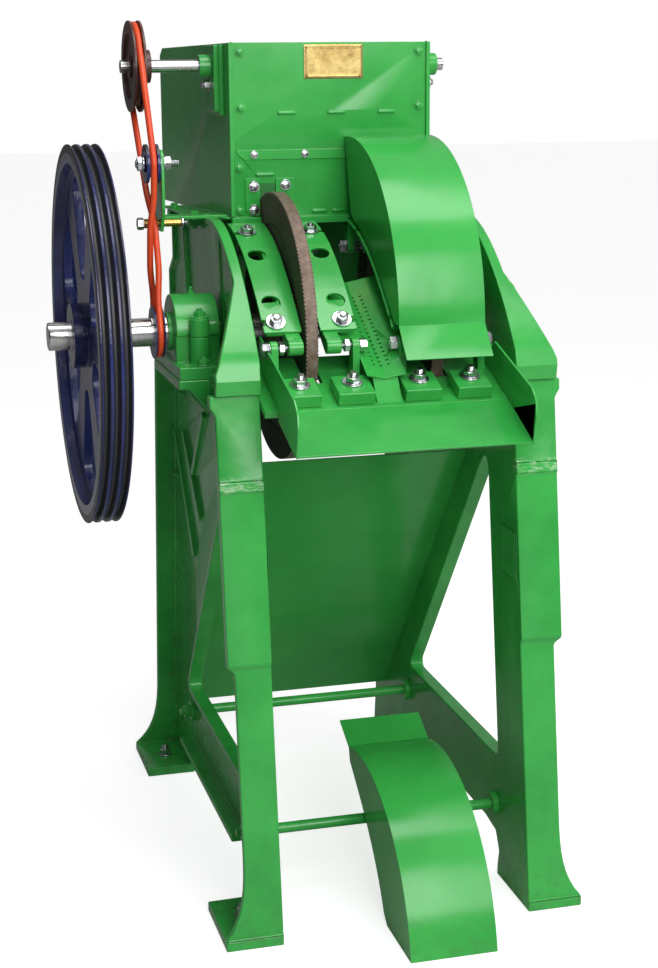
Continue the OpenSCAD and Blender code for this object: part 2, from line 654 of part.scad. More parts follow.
// Hopper of sheet metal
flare = 3.8;
hopper_y = -6;
slot_half = 16;
slot_top = hopper_base + 69;
front_lip = hopper_base - 10;
jog_y = -1.6;
jog_z = hopper_base + 133;
front_line = [[hopper_y, rim_z], [hopper_y, jog_z + 19], [jog_y, jog_z], [jog_y, front_lip]];
rear_top = rim_z - 6;
side_len = hopper_depth/cos(flare);
post_s = 70;
post_w = 14;
lip_inner = 65;
lip_h = 14;
lug_root = front_lip + 1;
post_d = 28;
high_screw_y = -10;
low_screw_y = -356;
lip_out = 22;
strip_w = 8;
inner_flange = 27;
pad_back = [50, 130];
function side_x(y) = hopper_half + tan(flare)*(y - hopper_y);
module on_side() {
    translate([hopper_half, hopper_y, 0]) rotate([0, 0, -flare]) children();
}
// Raised bead along X on the hopper's front
bead_r = 3.8;
module bead(x0, x1, y, z) {
    translate([x0, y, z]) rotate([0, 90, 0]) rotate_extrude() polygon(concat(
        arc([0, bead_r], bead_r, -90, 0, 6), arc([0, x1 - x0 - bead_r], bead_r, 0, 90, 6)));
}
// Lug along X with a round end about a screw, standing or hanging by its root
module lug(x0, w, y, z, r, root) {
    along_x(x0, w) polygon(concat(arc([y, z], r, root > z ? 180 : 0, root > z ? 360 : 180, 12),
        root > z ? [[y + r, root], [y - r, root]] : [[y - r, root], [y + r, root]]));
}
module hopper_front() {
    color(green) difference() {
        union() {
            along_x(-hopper_half, 2*hopper_half) polygon(band(front_line, sheet_t));
            along_y(jog_y - 2, 2.5) polygon([[-hopper_half + 6, jog_z + 1], [hopper_half, jog_z + 1],
                [hopper_half, jog_z - 18], [-hopper_half + 20, jog_z - 18], [-hopper_half + 6, jog_z - 6]]);
            about_discs() {
                translate([0, -lip_out, front_lip]) cube([lip_inner, lip_out, lip_h]);
                for (x = [disc_x - post_s - post_w, disc_x + post_s])
                    lug(x, post_w, high_screw_y, high_screw_at, post_d/2, lug_root);
            }
            for (s = [-1, 1]) let (a = disc_at[(s + 1)/2] + s*(slot_half + 2), b = s*(hopper_half + 9))
                translate([min(a, b), -lip_out, front_lip]) cube([abs(b - a), lip_out, lip_h]);
            for (b = [[-109, -71], [-7, 31], [96, 133]]) bead(b[0], b[1], hopper_y, rim_z - 135);
            bead(-154, -115, jog_y, hopper_base + 86);
            for (b = [[-40, -7], [3, 30]]) bead(b[0], b[1], jog_y, hopper_base + 12);
        }
        about_discs() {
            translate([disc_x - slot_half, -40, front_lip - 1]) cube([2*slot_half, 60, slot_top - front_lip + 1]);
            x_rod(disc_x - post_s - post_w - 1, disc_x - post_s + 1, high_screw_y, high_screw_at, screw_r + running_gap);
            x_rod(disc_x + post_s - 1, disc_x + post_s + post_w + 1, high_screw_y, high_screw_at, screw_r + running_gap);
        }
    }
}
module hopper_side() {
    difference() {
        union() {
            // The front corner at the bottom is notched for the front plate's lip
            on_side() along_x(0, sheet_t) polygon([[7, hopper_base], [7, hopper_base + sheet_t + seat_gap],
                [1, hopper_base + sheet_t + seat_gap], [1, rim_z], [side_len - 22, rear_top],
                [side_len, rear_top - 16], [side_len, hopper_base]]);
            along_x(hopper_half - inner_flange, inner_flange + 2) polygon(layer(front_line, sheet_t, 2*sheet_t));
            translate([hopper_half + seat_gap, hopper_y - 4, front_lip + lip_h + 1])
                cube([strip_w, 5.5, rim_z - front_lip - lip_h - 1]);
            translate([0, 0, hopper_base]) linear_extrude(sheet_t) polygon([[side_x(0) + 1, 0],
                [flange_out, 0], [flange_out, cheek_rear], [side_x(cheek_rear) + 1, cheek_rear]]);
        }
        // The inner flange ends above the roots of the front plate's lugs
        translate([hopper_half - inner_flange - 1, 0, front_lip - 1])
            cube([inner_flange + 2, 3*sheet_t, lug_root + seat_gap - front_lip + 1]);
        for (y = flange_bolt_y) translate([flange_bolt_x, y, hopper_base - 1])
            cylinder(h = 10, r = screw_r + seat_gap);
        x_rod(frame_in - 60, frame_in, feed_y, feed_at, feed_r + 1);
    }
}
module hopper_left_side() { color(green) mirror([1, 0, 0]) hopper_side(); }
module hopper_right_side() { color(green) hopper_side(); }
back_line = [[hopper_depth - 32, rear_top], [hopper_depth - 34, rim_z - 100], [150, hopper_base - 4],
    [120, hopper_base - 4]];
guard_y = 330;
guard_t = 3;
// The hopper's floor above the guard
guard_top = back_line[2][1] + (guard_y - back_line[2][0])*(back_line[1][1] - back_line[2][1])
    /(back_line[1][0] - back_line[2][0]) + 2;
module hopper_back() {
    color(green) {
        intersection() {
            along_x(-300, 600) polygon(band(back_line, -sheet_t));
            translate([0, 0, hopper_base - 100]) linear_extrude(hopper_top + 200)
                polygon([[-side_x(0) + seat_gap, 0], [side_x(0) - seat_gap, 0],
                    [side_x(600) - seat_gap, 600], [-side_x(600) + seat_gap, 600]]);
        }
        along_y(guard_y, guard_t) polygon([[-frame_in + seat_gap, leg_h + 4], [frame_in - seat_gap, leg_h + 4],
            [frame_in - seat_gap, hopper_base - seat_gap], [side_x(guard_y) - 1, hopper_base - seat_gap],
            [side_x(guard_y) - 1, guard_top], [-side_x(guard_y) + 1, guard_top],
            [-side_x(guard_y) + 1, hopper_base - seat_gap], [-frame_in + seat_gap, hopper_base - seat_gap]]);
    }
}
// Widths of the plates on each slot's outer and inner side
gate_outer = hopper_half - 22 + mid_x - disc_x - slot_half;
gate_inner = 38;
gate_t = 3;
gate_low = hopper_base + 5;
gate_high = hopper_base + 79;
module gate_plates() {
    color(green) about_discs() {
        along_y(jog_y - gate_t, gate_t) polygon([[disc_x + slot_half, gate_low], [disc_x + slot_half, gate_high],
            [disc_x + slot_half + gate_outer, gate_high], [disc_x + slot_half + gate_outer, gate_low + 12],
            [disc_x + slot_half + gate_outer*0.6, gate_low]]);
        along_y(jog_y - gate_t, gate_t) polygon([[disc_x - slot_half, gate_low], [disc_x - slot_half, gate_high],
            [disc_x - slot_half - gate_inner, gate_high], [disc_x - slot_half - gate_inner, gate_low]]);
    }
}
plate_mid = [6, rim_z - 37];
plate_size = [120, 66];
plate_thick = 1.5;
module nameplate() {
    color("gold") {
        translate([plate_mid[0] - plate_size[0]/2, hopper_y - plate_thick, plate_mid[1] - plate_size[1]/2])
            cube([plate_size[0], plate_thick, plate_size[1]]);
        for (x = [-1, 1], z = [-1, 1])
            translate([plate_mid[0] + x*(plate_size[0]/2 - 6), hopper_y - plate_thick,
                plate_mid[1] + z*(plate_size[1]/2 - 6)]) rotate([90, 0, 0]) cylinder(h = 1.2, r = 2.2);
    }
}

// Bearings of the feed shaft, on both sides of the hopper
pad_z = [rim_z - 140, rim_z - 3];
plate_z = [rim_z - 132, rim_z - 4];
feed_plate_t = 9;
module feed_bearings() {
    color(green) both_sides() difference() {
        union() {
            on_side() {
                translate([sheet_t, pad_back[0], pad_z[0]])
                    cube([feed_plate_t, pad_back[1] - pad_back[0], pad_z[1] - pad_z[0]]);
                translate([sheet_t + feed_plate_t - 1, pad_back[0] + 6, plate_z[0]])
                    cube([feed_plate_t + 1, pad_back[1] - pad_back[0] - 12, plate_z[1] - plate_z[0]]);
            }
            x_rod(hopper_half + 20, hopper_half + 50, feed_y, feed_at, 22);
        }
        x_rod(hopper_half - 10, hopper_half + 60, feed_y, feed_at, feed_r + running_gap);
    }
}
module front_bolt(x, y, z, r, washer_r) {
    translate([x, y - 0.05, z]) rotate([90, 0, 0]) hex_bolt(r, 6, washer_r, 1.5);
}
module hopper_bolts() {
    color(zinc) {
        for (x = [-156, -53]) front_bolt(x, jog_y - 2, jog_z - 8, 6, 8);
        about_discs() {
            for (z = [63, 17]) front_bolt(disc_x + slot_half + 12, jog_y - gate_t, hopper_base + z, 8, 11);
            front_bolt(disc_x - slot_half - 20, jog_y - gate_t, hopper_base + 65, 8, 11);
        }
        both_sides() {
            for (z = [rim_z - 18, rim_z - 124]) front_bolt(hopper_half - 15, hopper_y, z, 7, 10);
            for (z = [hopper_base + 100, hopper_base + 16]) front_bolt(hopper_half - 11, jog_y, z, 7, 10);
            for (y = flange_bolt_y) translate([flange_bolt_x, y, 0]) {
                translate([0, 0, hopper_base + sheet_t]) hex_bolt(9, 7, 12, 2);
                translate([0, 0, hopper_base - 22]) cylinder(h = 28, r = screw_r);
            }
            on_side() translate([sheet_t + 2*feed_plate_t, feed_y - hopper_y, rim_z - 80]) rotate([0, 90, 0])
                hex_bolt(10, 10, 13, 2);
        }
    }
}

// Chops: cover plates and bars beside the discs, with their adjusting screws
plate_t = 5;
plate_s = [17.5, 88.5];
bar_s = [22, 50];
bar_h = 22;
lug_r = 14;
hole_s = 62;
hole_t = [0.455, 0.825];
bolt_t = [0.19, 0.945];
notch_half = 7;
chop_bolt_s = 63;
nut_af = 11;
chop_p = [[-26.5, front_lip - 0.5], [-140, hopper_base - 25], [-225, hopper_base - 85], [-334, leg_h + 98]];
function chop_at(t) = bez(chop_p[0], chop_p[1], chop_p[2], chop_p[3], t);
chop_line = [for (i = [0:16]) chop_at(i/16)];
function chop_up(t) = -left_of(unit(chop_at(t + 0.01) - chop_at(t - 0.01)));
// Stands its children on the plate's upper face, across from the disc's middle by s
module on_chop(s, t) {
    u = chop_up(t);
    p = chop_at(t) + plate_t*u;
    translate([s, p[0], p[1]]) rotate([atan2(-u[0], u[1]), 0, 0]) children();
}
// Puts chop k beside its disc: 1 and 3 to the left of it, 2 and 4 to the right
module place_chop(k) {
    translate([disc_at[k < 3 ? 0 : 1], 0, 0]) mirror([k % 2, 0, 0]) children();
}
module chop_plate() {
    difference() {
        along_x(plate_s[0], plate_s[1] - plate_s[0]) polygon(band(chop_line, -plate_t));
        for (t = hole_t) on_chop(hole_s, t) translate([0, 0, -20]) cylinder(h = 40, r = hole_r);
        for (t = bolt_t) on_chop(chop_bolt_s, t) {
            translate([0, -notch_half, -20]) cube([40, 2*notch_half, 40]);
            translate([0, 0, -20]) cylinder(h = 40, r = notch_half);
        }
    }
}
module chop_bar() {
    low = [low_screw_y, low_screw_at];
    high = [high_screw_y, high_screw_at];
    end_n = shifted(chop_line, bar_h);
    difference() {
        union() {
            along_x(bar_s[0], bar_s[1] - bar_s[0]) polygon(layer(chop_line, 0, bar_h));
            // Bolting ledge under the plate's outer half
            for (t = [[0, 4], [13, 16]]) along_x(bar_s[1] - 1, plate_s[1] - bar_s[1] - 4)
                polygon(layer([for (i = [t[0]:t[1]]) chop_line[i]], 0, 8));
            along_x(bar_s[0], bar_s[1] - bar_s[0]) {
                polygon([chop_line[16], chop_line[15], end_n[15], end_n[16], low + polar(lug_r, -50),
                    low, low + polar(lug_r, 100)]);
                circle_at(low, lug_r);
                polygon([chop_line[0] + [30, 0], chop_line[0], end_n[0], end_n[1], high + polar(lug_r, 180), high,
                    high + polar(lug_r, 0)]);
                circle_at(high, lug_r);
            }
        }
        for (p = [low, high]) x_rod(bar_s[0] + 4, bar_s[1] + 1, p[0], p[1], screw_r + running_gap);
        for (t = bolt_t) on_chop(chop_bolt_s, t) translate([0, 0, -40]) cylinder(h = 60, r = screw_r);
    }
}
module circle_at(p, r) {
    translate(p) circle(r = r);
}
module chop_bolts() {
    for (t = bolt_t) on_chop(chop_bolt_s, t) {
        hex_bolt(10.5, 9, 14, 3);
        translate([0, 0, -plate_t - 8]) cylinder(h = plate_t + 9, r = screw_r);
    }
}
screw_tip = 27;
nut_s = post_s - 13;
head_s = post_s + post_w + 2.5;
module chop_screw(y, z) {
    x_rod(screw_tip, head_s + 1, y, z, screw_r);
    x_hex(nut_s, nut_s + 9.5, y, z, nut_af);
    x_hex(head_s, head_s + 13, y, z, nut_af);
    x_rod(head_s + 12, head_s + 13.5, y, z, 8);
}
module chop_bar_1() { color(green) place_chop(1) chop_bar(); }
module chop_bar_2() { color(green) place_chop(2) chop_bar(); }
module chop_bar_3() { color(green) place_chop(3) chop_bar(); }
module chop_bar_4() { color(green) place_chop(4) chop_bar(); }
module chop_plate_1() { color(green) place_chop(1) chop_plate(); }
module chop_plate_2() { color(green) place_chop(2) chop_plate(); }
module chop_plate_3() { color(green) place_chop(3) chop_plate(); }
module chop_plate_4() { color(green) place_chop(4) chop_plate(); }
module chop_bolts_1() { color(zinc) place_chop(1) chop_bolts(); }
module chop_bolts_2() { color(zinc) place_chop(2) chop_bolts(); }
module chop_bolts_3() { color(zinc) place_chop(3) chop_bolts(); }
module chop_bolts_4() { color(zinc) place_chop(4) chop_bolts(); }
module lower_screw_1() { color(zinc) place_chop(1) chop_screw(low_screw_y, low_screw_at); }
module lower_screw_2() { color(zinc) place_chop(2) chop_screw(low_screw_y, low_screw_at); }
module lower_screw_3() { color(zinc) place_chop(3) chop_screw(low_screw_y, low_screw_at); }
module lower_screw_4() { color(zinc) place_chop(4) chop_screw(low_screw_y, low_screw_at); }
module upper_screw_1() { color(zinc) place_chop(1) chop_screw(high_screw_y, high_screw_at); }
module upper_screw_2() { color(zinc) place_chop(2) chop_screw(high_screw_y, high_screw_at); }
module upper_screw_3() { color(zinc) place_chop(3) chop_screw(high_screw_y, high_screw_at); }
module upper_screw_4() { color(zinc) place_chop(4) chop_screw(high_screw_y, high_screw_at); }

// Bed, with the posts of the lower screws
bed_front = [-446, leg_h - 26];
bed_rear_y = -262;
bed_slope = 0.364;
bed_angle = atan(bed_slope);
bed_t = 14;
bed_toe = bed_front[0] + 6;
function bed_z(y) = bed_front[1] + (y - bed_front[0])*bed_slope;
module chop_bed() {
    color(green) difference() {
        union() {
            along_x(-frame_in, 2*frame_in) polygon([bed_front, [bed_rear_y, bed_z(bed_rear_y)],
                [bed_rear_y, bed_z(bed_rear_y) - bed_t], [bed_toe, bed_z(bed_toe) - bed_t]]);
            about_discs() for (x = [disc_x - post_s - post_w, disc_x + post_s])
                along_x(x, post_w) polygon(concat(arc([low_screw_y, low_screw_at], post_d/2, 0, 180, 12),
                    [[low_screw_y - post_d/2, bed_z(low_screw_y) - 8], [low_screw_y + post_d/2, bed_z(low_screw_y)]]));
        }
        about_discs() translate([disc_x - slot_half, shaft_y - disc_r - 6, leg_h - 120])
            cube([2*slot_half, 200, 300]);
        both_sides() x_rod(-1, frame_in - 20, low_screw_y, low_screw_at, screw_r + running_gap);
    }
}
// Stands its children on the bed's upper face, at the distance d up the slope from its front edge
module on_bed(x, d) {
    translate([x, bed_front[0], bed_front[1]]) rotate([bed_angle, 0, 0]) translate([0, d, 0]) children();
}
// Blocks from the middle of the pair, an inner and an outer one by each disc
block_x = [29, 98, 129, 195];
block_d = [9.5, 77];
block_h = 24;
stud_d = 50;
module base_blocks() {
    color(green) about_discs() for (i = [0, 2]) difference() {
        on_bed(block_x[i], block_d[0]) cube([block_x[i+1] - block_x[i], block_d[1] - block_d[0], block_h]);
        on_bed((block_x[i] + block_x[i+1])/2, stud_d) translate([0, 0, -1])
            cylinder(h = block_h + 2, r = screw_r + seat_gap);
    }
}
module base_bolts() {
    color(zinc) about_discs() for (i = [0, 2]) on_bed((block_x[i] + block_x[i+1])/2, stud_d) {
        translate([0, 0, block_h]) hex_bolt(nut_af, 10, 17, 3);
        translate([0, 0, 0.01]) cylinder(h = block_h + 22, r = screw_r);
    }
}
// Perforated trough between the two inner chops
apron_top = [-141, leg_h + 161];
apron_foot = [-408, leg_h + 16];
apron_half = disc_x - post_s - post_w - seat_gap;
apron_v = 0.26;
apron_t = 3;
apron_angle = atan2(apron_top[1] - apron_foot[1], apron_top[0] - apron_foot[0]);
apron_len = norm(apron_top - apron_foot);
// Behind the posts the trough spreads under the chops' plates
wing_half = 64;
wing_from = 95;
apron_leg = 24;
apron_leg_y = -436;
row_x = 14;
hole_pitch = 12.6;
module trough(half, d0, d1) {
    along_y(d0, d1 - d0) polygon([[-half, apron_v*half], [0, 0], [half, apron_v*half],
        [half, apron_v*half + apron_t], [0, apron_t], [-half, apron_v*half + apron_t]]);
}
module disc_apron() {
    color(green) translate([mid_x, 0, 0]) difference() {
        union() {
            translate([0, apron_foot[0], apron_foot[1]]) rotate([apron_angle, 0, 0]) {
                trough(apron_half, 0, apron_len);
                trough(wing_half, wing_from, apron_len);
            }
            // Slanted sheet down to the bed
            intersection() {
                along_x(-apron_leg, 2*apron_leg) polygon([[apron_leg_y, bed_z(apron_leg_y) + seat_gap],
                    [apron_leg_y + 5, bed_z(apron_leg_y + 5) + seat_gap], [apron_foot[0] + 5, apron_foot[1] + 1],
                    [apron_foot[0] + 5, apron_foot[1] + 16], [apron_foot[0] + 1, apron_foot[1] + 16],
                    [apron_foot[0] + 1, apron_foot[1] + 1]]);
                along_y(apron_leg_y - 10, 60) polygon([[-apron_leg, 0], [apron_leg, 0],
                    [apron_leg, apron_foot[1] + apron_v*apron_leg + 2], [0, apron_foot[1] + 2],
                    [-apron_leg, apron_foot[1] + apron_v*apron_leg + 2]]);
            }
        }
        translate([0, apron_foot[0], apron_foot[1]]) rotate([apron_angle, 0, 0])
            for (x = [-row_x, 0, row_x], i = [3:20]) translate([x, i*hole_pitch, -1]) cylinder(h = 20, r = 2.5);
    }
}

// Tray below the bed, with a wing at each side
tray_half = 216;
tray_lip = [-574.6, leg_h - 80.6];
tray_rear = -344;
function under_bed(y) = bed_z(y) - bed_t - seat_gap;
module discharge_tray() {
    color(green) difference() {
        union() {
            along_x(-tray_half, 2*tray_half) polygon([tray_lip, [bed_front[0] - 0.5, bed_front[1]],
                [bed_toe - 0.5, under_bed(bed_toe)], [tray_rear, under_bed(tray_rear)],
                [tray_rear, under_bed(tray_rear) - sheet_t], [bed_toe - 3, under_bed(bed_toe) - sheet_t],
                [tray_lip[0] + 1, tray_lip[1] - sheet_t]]);
            both_sides() along_x(tray_half - 0.01, sheet_t) polygon([[-300, leg_h + 90], [-560, leg_h + 16],
                [-578, leg_h + 2], [-585, leg_h - 10], [-588, leg_h - 35], tray_lip + [0, -4.5], [bed_front[0] - 1, bed_front[1] - 18],
                [bed_front[0] - 1, bed_front[1] + 0.3], [-300, bed_z(-300) + 0.3]]);
        }
        both_sides() x_rod(tray_half - 10, tray_half + 10, low_screw_y, low_screw_at, 14);
    }
}

// Sloping chute under the discs
chute_top = [-140.6, leg_h - 184.1];
chute_foot = [437, 146];
chute_t = 3;
chute_edge = 22;
chute_dir = unit(chute_foot - chute_top);
module pulp_chute() {
    color(green) {
        along_x(-frame_in, 2*frame_in) polygon(layer([chute_top, chute_foot - 34*chute_dir, chute_foot], 0, -chute_t));
        both_sides() along_x(frame_in - chute_t, chute_t) polygon(layer([chute_top, chute_foot], -1, chute_edge));
    }
}

// Disc covers: one fitted, one taken off and stood on the floor
cover_mid = [-37, leg_h + 102];
cover_arc = arc(cover_mid, cover_r, 84.8, 179.1, 24);
cover_flap = [-422, leg_h + 52];
// The walls end just above the chops' plates
wall_gap = 8.5;
wall_line = reversed(shifted(chop_line, -plate_t - wall_gap));
cover_wall = concat(cover_arc, [for (i = [0:14]) wall_line[i]], [[-48, hopper_base + 11]]);
cover_x = 112;
// Its upper edge leans on the hopper's front
cover_y = hopper_y - seat_gap - cover_arc[0][0];
loose_x = 47;
loose_y = -664;
loose_turn = 74.3;
module cover() {
    along_x(-cover_w/2, cover_w) polygon(band(concat(cover_arc, [cover_flap]), cover_t));
    both_sides() along_x(cover_w/2 - cover_t, cover_t) polygon(cover_wall);
}
module disc_cover() { color(green) translate([cover_x, cover_y, 0]) cover(); }
module loose_cover() {
    color(green) translate([loose_x, loose_y, 0]) rotate([loose_turn, 0, 0]) mirror([0, 1, 0])
        translate([0, 6, -cover_mid[1] - cover_r - 1]) cover();
}

left_leg();
right_leg();
left_cheek();
right_cheek();
tie_rods();
tie_rod_nuts();
frame_bolts();
bearing_bases();
bearing_caps();
bearing_bushes();
main_shaft();
shaft_keys();
left_disc();
right_disc();
drive_pulley();
drive_sheave();
drive_belt();
feed_pulley();
feed_shaft();
feed_agitator();
feed_bearings();
jockey_pulley();
jockey_bracket();
belt_bolts();
guide_bush();
hopper_front();
hopper_left_side();
hopper_right_side();
hopper_back();
hopper_bolts();
gate_plates();
nameplate();
discharge_tray();
chop_bed();
base_blocks();
base_bolts();
disc_apron();
pulp_chute();
disc_cover();
loose_cover();
chop_bar_1();
chop_bar_2();
chop_bar_3();
chop_bar_4();
chop_plate_1();
chop_plate_2();
chop_plate_3();
chop_plate_4();
chop_bolts_1();
chop_bolts_2();
chop_bolts_3();
chop_bolts_4();
lower_screw_1();
lower_screw_2();
lower_screw_3();
lower_screw_4();
upper_screw_1();
upper_screw_2();
upper_screw_3();
upper_screw_4();
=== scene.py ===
import json
import math
import bmesh
import bpy
import numpy as np
from mathutils import Matrix, Vector


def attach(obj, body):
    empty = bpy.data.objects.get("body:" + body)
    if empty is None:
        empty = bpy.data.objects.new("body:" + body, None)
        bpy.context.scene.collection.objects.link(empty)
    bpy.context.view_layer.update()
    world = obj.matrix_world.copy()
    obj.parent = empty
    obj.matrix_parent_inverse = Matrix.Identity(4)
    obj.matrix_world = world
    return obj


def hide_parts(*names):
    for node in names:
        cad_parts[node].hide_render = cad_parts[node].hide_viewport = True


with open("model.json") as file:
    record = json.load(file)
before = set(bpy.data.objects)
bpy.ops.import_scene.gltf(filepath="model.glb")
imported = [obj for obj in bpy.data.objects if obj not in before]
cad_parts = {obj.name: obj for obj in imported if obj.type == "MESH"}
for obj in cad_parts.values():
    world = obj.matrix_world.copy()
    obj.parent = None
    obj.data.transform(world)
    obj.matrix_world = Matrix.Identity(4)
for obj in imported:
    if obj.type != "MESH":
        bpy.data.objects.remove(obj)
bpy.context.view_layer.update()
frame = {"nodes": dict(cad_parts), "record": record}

mm = 0.001
slotOf = {part["node"]: part["material_slot"] for part in frame["record"]["subparts"]}
bodyOf = {name: body for body, names in frame["record"]["behaviour"]["bodies"].items() for name in names}

# Viewpoint of the photograph, and the studio round the object
view = {"place": (-0.9501, -3.5214, 1.6055), "yaw": 14.98, "pitch": 13.24, "roll": -0.46,
        "focal": 1801.8, "width": 658, "height": 968}
studio = {"skyLow": 0.05, "skyHigh": 0.42, "floorTone": 0.55, "floorLift": 0.75,
          "lamps": [("keyLamp", (0.3, -4.8, 3.1), (0, -0.2, 0.9), 2.8, 150),
                    ("fillLamp", (3.4, -2.6, 2.6), (0, 0, 0.9), 2.2, 50),
                    ("topLamp", (0.3, -0.9, 4.4), (0, 0, 1.0), 2.0, 60)]}


def makeCamera():
    cam = bpy.data.cameras.new("camera")
    obj = bpy.data.objects.new("camera", cam)
    bpy.context.scene.collection.objects.link(obj)
    yaw, pitch, roll = (math.radians(view[k]) for k in ("yaw", "pitch", "roll"))
    forward = Vector((math.sin(yaw) * math.cos(pitch), math.cos(yaw) * math.cos(pitch), -math.sin(pitch)))
    right = forward.cross(Vector((0, 0, 1))).normalized()
    up = right.cross(forward)
    tilted = right * math.cos(roll) + up * math.sin(roll)
    up = tilted.cross(forward)
    obj.matrix_world = Matrix.Translation(view["place"]) @ Matrix((tilted, up, -forward)).transposed().to_4x4()
    cam.sensor_fit = "VERTICAL"
    cam.sensor_height = 36
    cam.lens = view["focal"] / view["height"] * 36
    bpy.context.scene.camera = obj


# Node trees: one node with its inputs set or linked, and small sums of nodes
def node(tree, kind, inputs=None, **props):
    made = tree.nodes.new("ShaderNode" + kind)
    for key, value in props.items():
        setattr(made, key, value)
    for key, value in (inputs or {}).items():
        if isinstance(value, bpy.types.NodeSocket):
            tree.links.new(value, made.inputs[key])
        else:
            made.inputs[key].default_value = value
    return made


def maths(tree, operation, a, b=0.0, clamp=False):
    return node(tree, "Math", {0: a, 1: b}, operation=operation, use_clamp=clamp).outputs[0]


def ramp(tree, value, low, high):
    return node(tree, "MapRange", {"Value": value, "From Min": low, "From Max": high}).outputs["Result"]


def mixed(tree, factor, a, b):
    mix = node(tree, "Mix", data_type="RGBA")
    for socket, value in ((mix.inputs[0], factor), (mix.inputs[6], a), (mix.inputs[7], b)):
        if isinstance(value, bpy.types.NodeSocket):
            tree.links.new(value, socket)
        else:
            socket.default_value = value if isinstance(value, (int, float)) else (*value, 1)
    return mix.outputs[2]


def noise(tree, vector, scale, detail=3.0, rough=0.5):
    return node(tree, "TexNoise", {"Vector": vector, "Scale": scale, "Detail": detail, "Roughness": rough}).outputs["Fac"]


def newGroup(name, inputs, outputs):
    group = bpy.data.node_groups.new(name, "ShaderNodeTree")
    for label, kind in inputs:
        group.interface.new_socket(name=label, in_out="INPUT", socket_type="NodeSocket" + kind)
    for label, kind in outputs:
        group.interface.new_socket(name=label, in_out="OUTPUT", socket_type="NodeSocket" + kind)
    return group, group.nodes.new("NodeGroupInput").outputs, group.nodes.new("NodeGroupOutput").inputs


def makeGroups():
    groups = {}
    # Skin of a casting or sheet under paint: slow waves, grains of sand and the orange peel of the enamel
    group, given, result = newGroup("paintedSkin", [("Place", "Vector"), ("Wave Scale", "Float"), ("Waves", "Float"),
                                                    ("Grain Scale", "Float"), ("Grains", "Float")],
                                    [("Height", "Float"), ("Patches", "Float")])
    waves = noise(group, given["Place"], given["Wave Scale"], 2.0)
    grains = noise(group, given["Place"], given["Grain Scale"], 4.0, 0.6)
    peel = noise(group, given["Place"], 900.0, 1.0)
    height = maths(group, "ADD", maths(group, "MULTIPLY", waves, given["Waves"]),
                   maths(group, "MULTIPLY", grains, given["Grains"]))
    group.links.new(maths(group, "ADD", height, maths(group, "MULTIPLY", peel, 0.03)), result["Height"])
    group.links.new(noise(group, given["Place"], 5.0, 4.0, 0.6), result["Patches"])
    groups["skin"] = group

    # Wear and painted highlight: bare spots where the surface is convex and a fine noise is high, and a mask of every
    # convex edge that the materials tint paler, partly as thinning paint and partly as a painted edge highlight
    group, given, result = newGroup("edgeWearAndHighlight", [("Place", "Vector"), ("Point", "Float"), ("Amount", "Float")],
                                    [("Chips", "Float"), ("RubAndHighlight", "Float")])
    convex = ramp(group, given["Point"], 0.53, 0.62)
    chips = maths(group, "MULTIPLY", convex, ramp(group, noise(group, given["Place"], 90.0, 5.0, 0.7), 0.58, 0.66))
    group.links.new(maths(group, "MULTIPLY", chips, given["Amount"], True), result["Chips"])
    group.links.new(maths(group, "MULTIPLY", convex, 0.5), result["RubAndHighlight"])
    groups["wearAndHighlight"] = group

    # Dirt and painted shade: a dark tint that grows towards the floor and, as painted shade, in concave hollows and
    # creases, broken into soft blotches
    group, given, result = newGroup("grimeAndCreaseShade", [("Place", "Vector"), ("Point", "Float"), ("Amount", "Float")],
                                    [("DirtAndShade", "Float")])
    height = node(group, "SeparateXYZ", {0: given["Place"]}).outputs["Z"]
    low = maths(group, "MULTIPLY", ramp(group, height, 0.12, 0.0), 0.8)
    # Painted shade in concave hollows and creases
    creaseShade = ramp(group, given["Point"], 0.485, 0.42)
    speck = ramp(group, noise(group, given["Place"], 38.0, 6.0, 0.65), 0.45, 0.72)
    dirtAndShade = maths(group, "MULTIPLY", maths(group, "ADD", maths(group, "ADD", low, creaseShade), 0.12), speck)
    group.links.new(maths(group, "MULTIPLY", dirtAndShade, given["Amount"], True), result["DirtAndShade"])
    groups["grimeAndCreaseShade"] = group

    # Turned steel: fine rings along X, and slow stains
    group, given, result = newGroup("turnedMetal", [("Place", "Vector")], [("Rings", "Float"), ("Stains", "Float")])
    squeezed = node(group, "Mapping", {"Vector": given["Place"], "Scale": (1400.0, 9.0, 9.0)}).outputs[0]
    group.links.new(noise(group, squeezed, 1.0, 3.0, 0.6), result["Rings"])
    group.links.new(noise(group, given["Place"], 60.0, 5.0, 0.65), result["Stains"])
    groups["turned"] = group
    return groups


def useGroup(tree, key, inputs):
    made = tree.nodes.new("ShaderNodeGroup")
    made.node_tree = groups[key]
    for label, value in inputs.items():
        if isinstance(value, bpy.types.NodeSocket):
            tree.links.new(value, made.inputs[label])
        else:
            made.inputs[label].default_value = value
    return made.outputs


def newMaterial(name):
    mat = bpy.data.materials.new(name)
    mat.use_nodes = True
    tree = mat.node_tree
    place = node(tree, "TexCoord").outputs["Object"]
    point = node(tree, "NewGeometry").outputs["Pointiness"]
    return mat, tree, tree.nodes["Principled BSDF"], place, point


enamels = {
    "greenCasting": {"deep": (0.022, 0.30, 0.045), "light": (0.048, 0.44, 0.075), "under": (0.16, 0.13, 0.10),
                     "rough": 0.2, "waves": (26.0, 1.0), "grains": (260.0, 0.16), "chips": 0.5, "dirtAndShade": 0.5, "paintedBendHighlight": 1},
    "greenSheet": {"deep": (0.025, 0.33, 0.05), "light": (0.045, 0.42, 0.07), "under": (0.2, 0.19, 0.17),
                   "rough": 0.17, "waves": (7.0, 2.2), "grains": (160.0, 0.05), "chips": 0.35, "dirtAndShade": 0.3, "paintedBendHighlight": 0},
    "brownEnamel": {"deep": (0.045, 0.012, 0.01), "light": (0.11, 0.03, 0.02), "under": (0.1, 0.12, 0.16),
                    "rough": 0.34, "waves": (60.0, 0.5), "grains": (300.0, 0.25), "chips": 0.9, "dirtAndShade": 0.6, "paintedBendHighlight": 0},
}


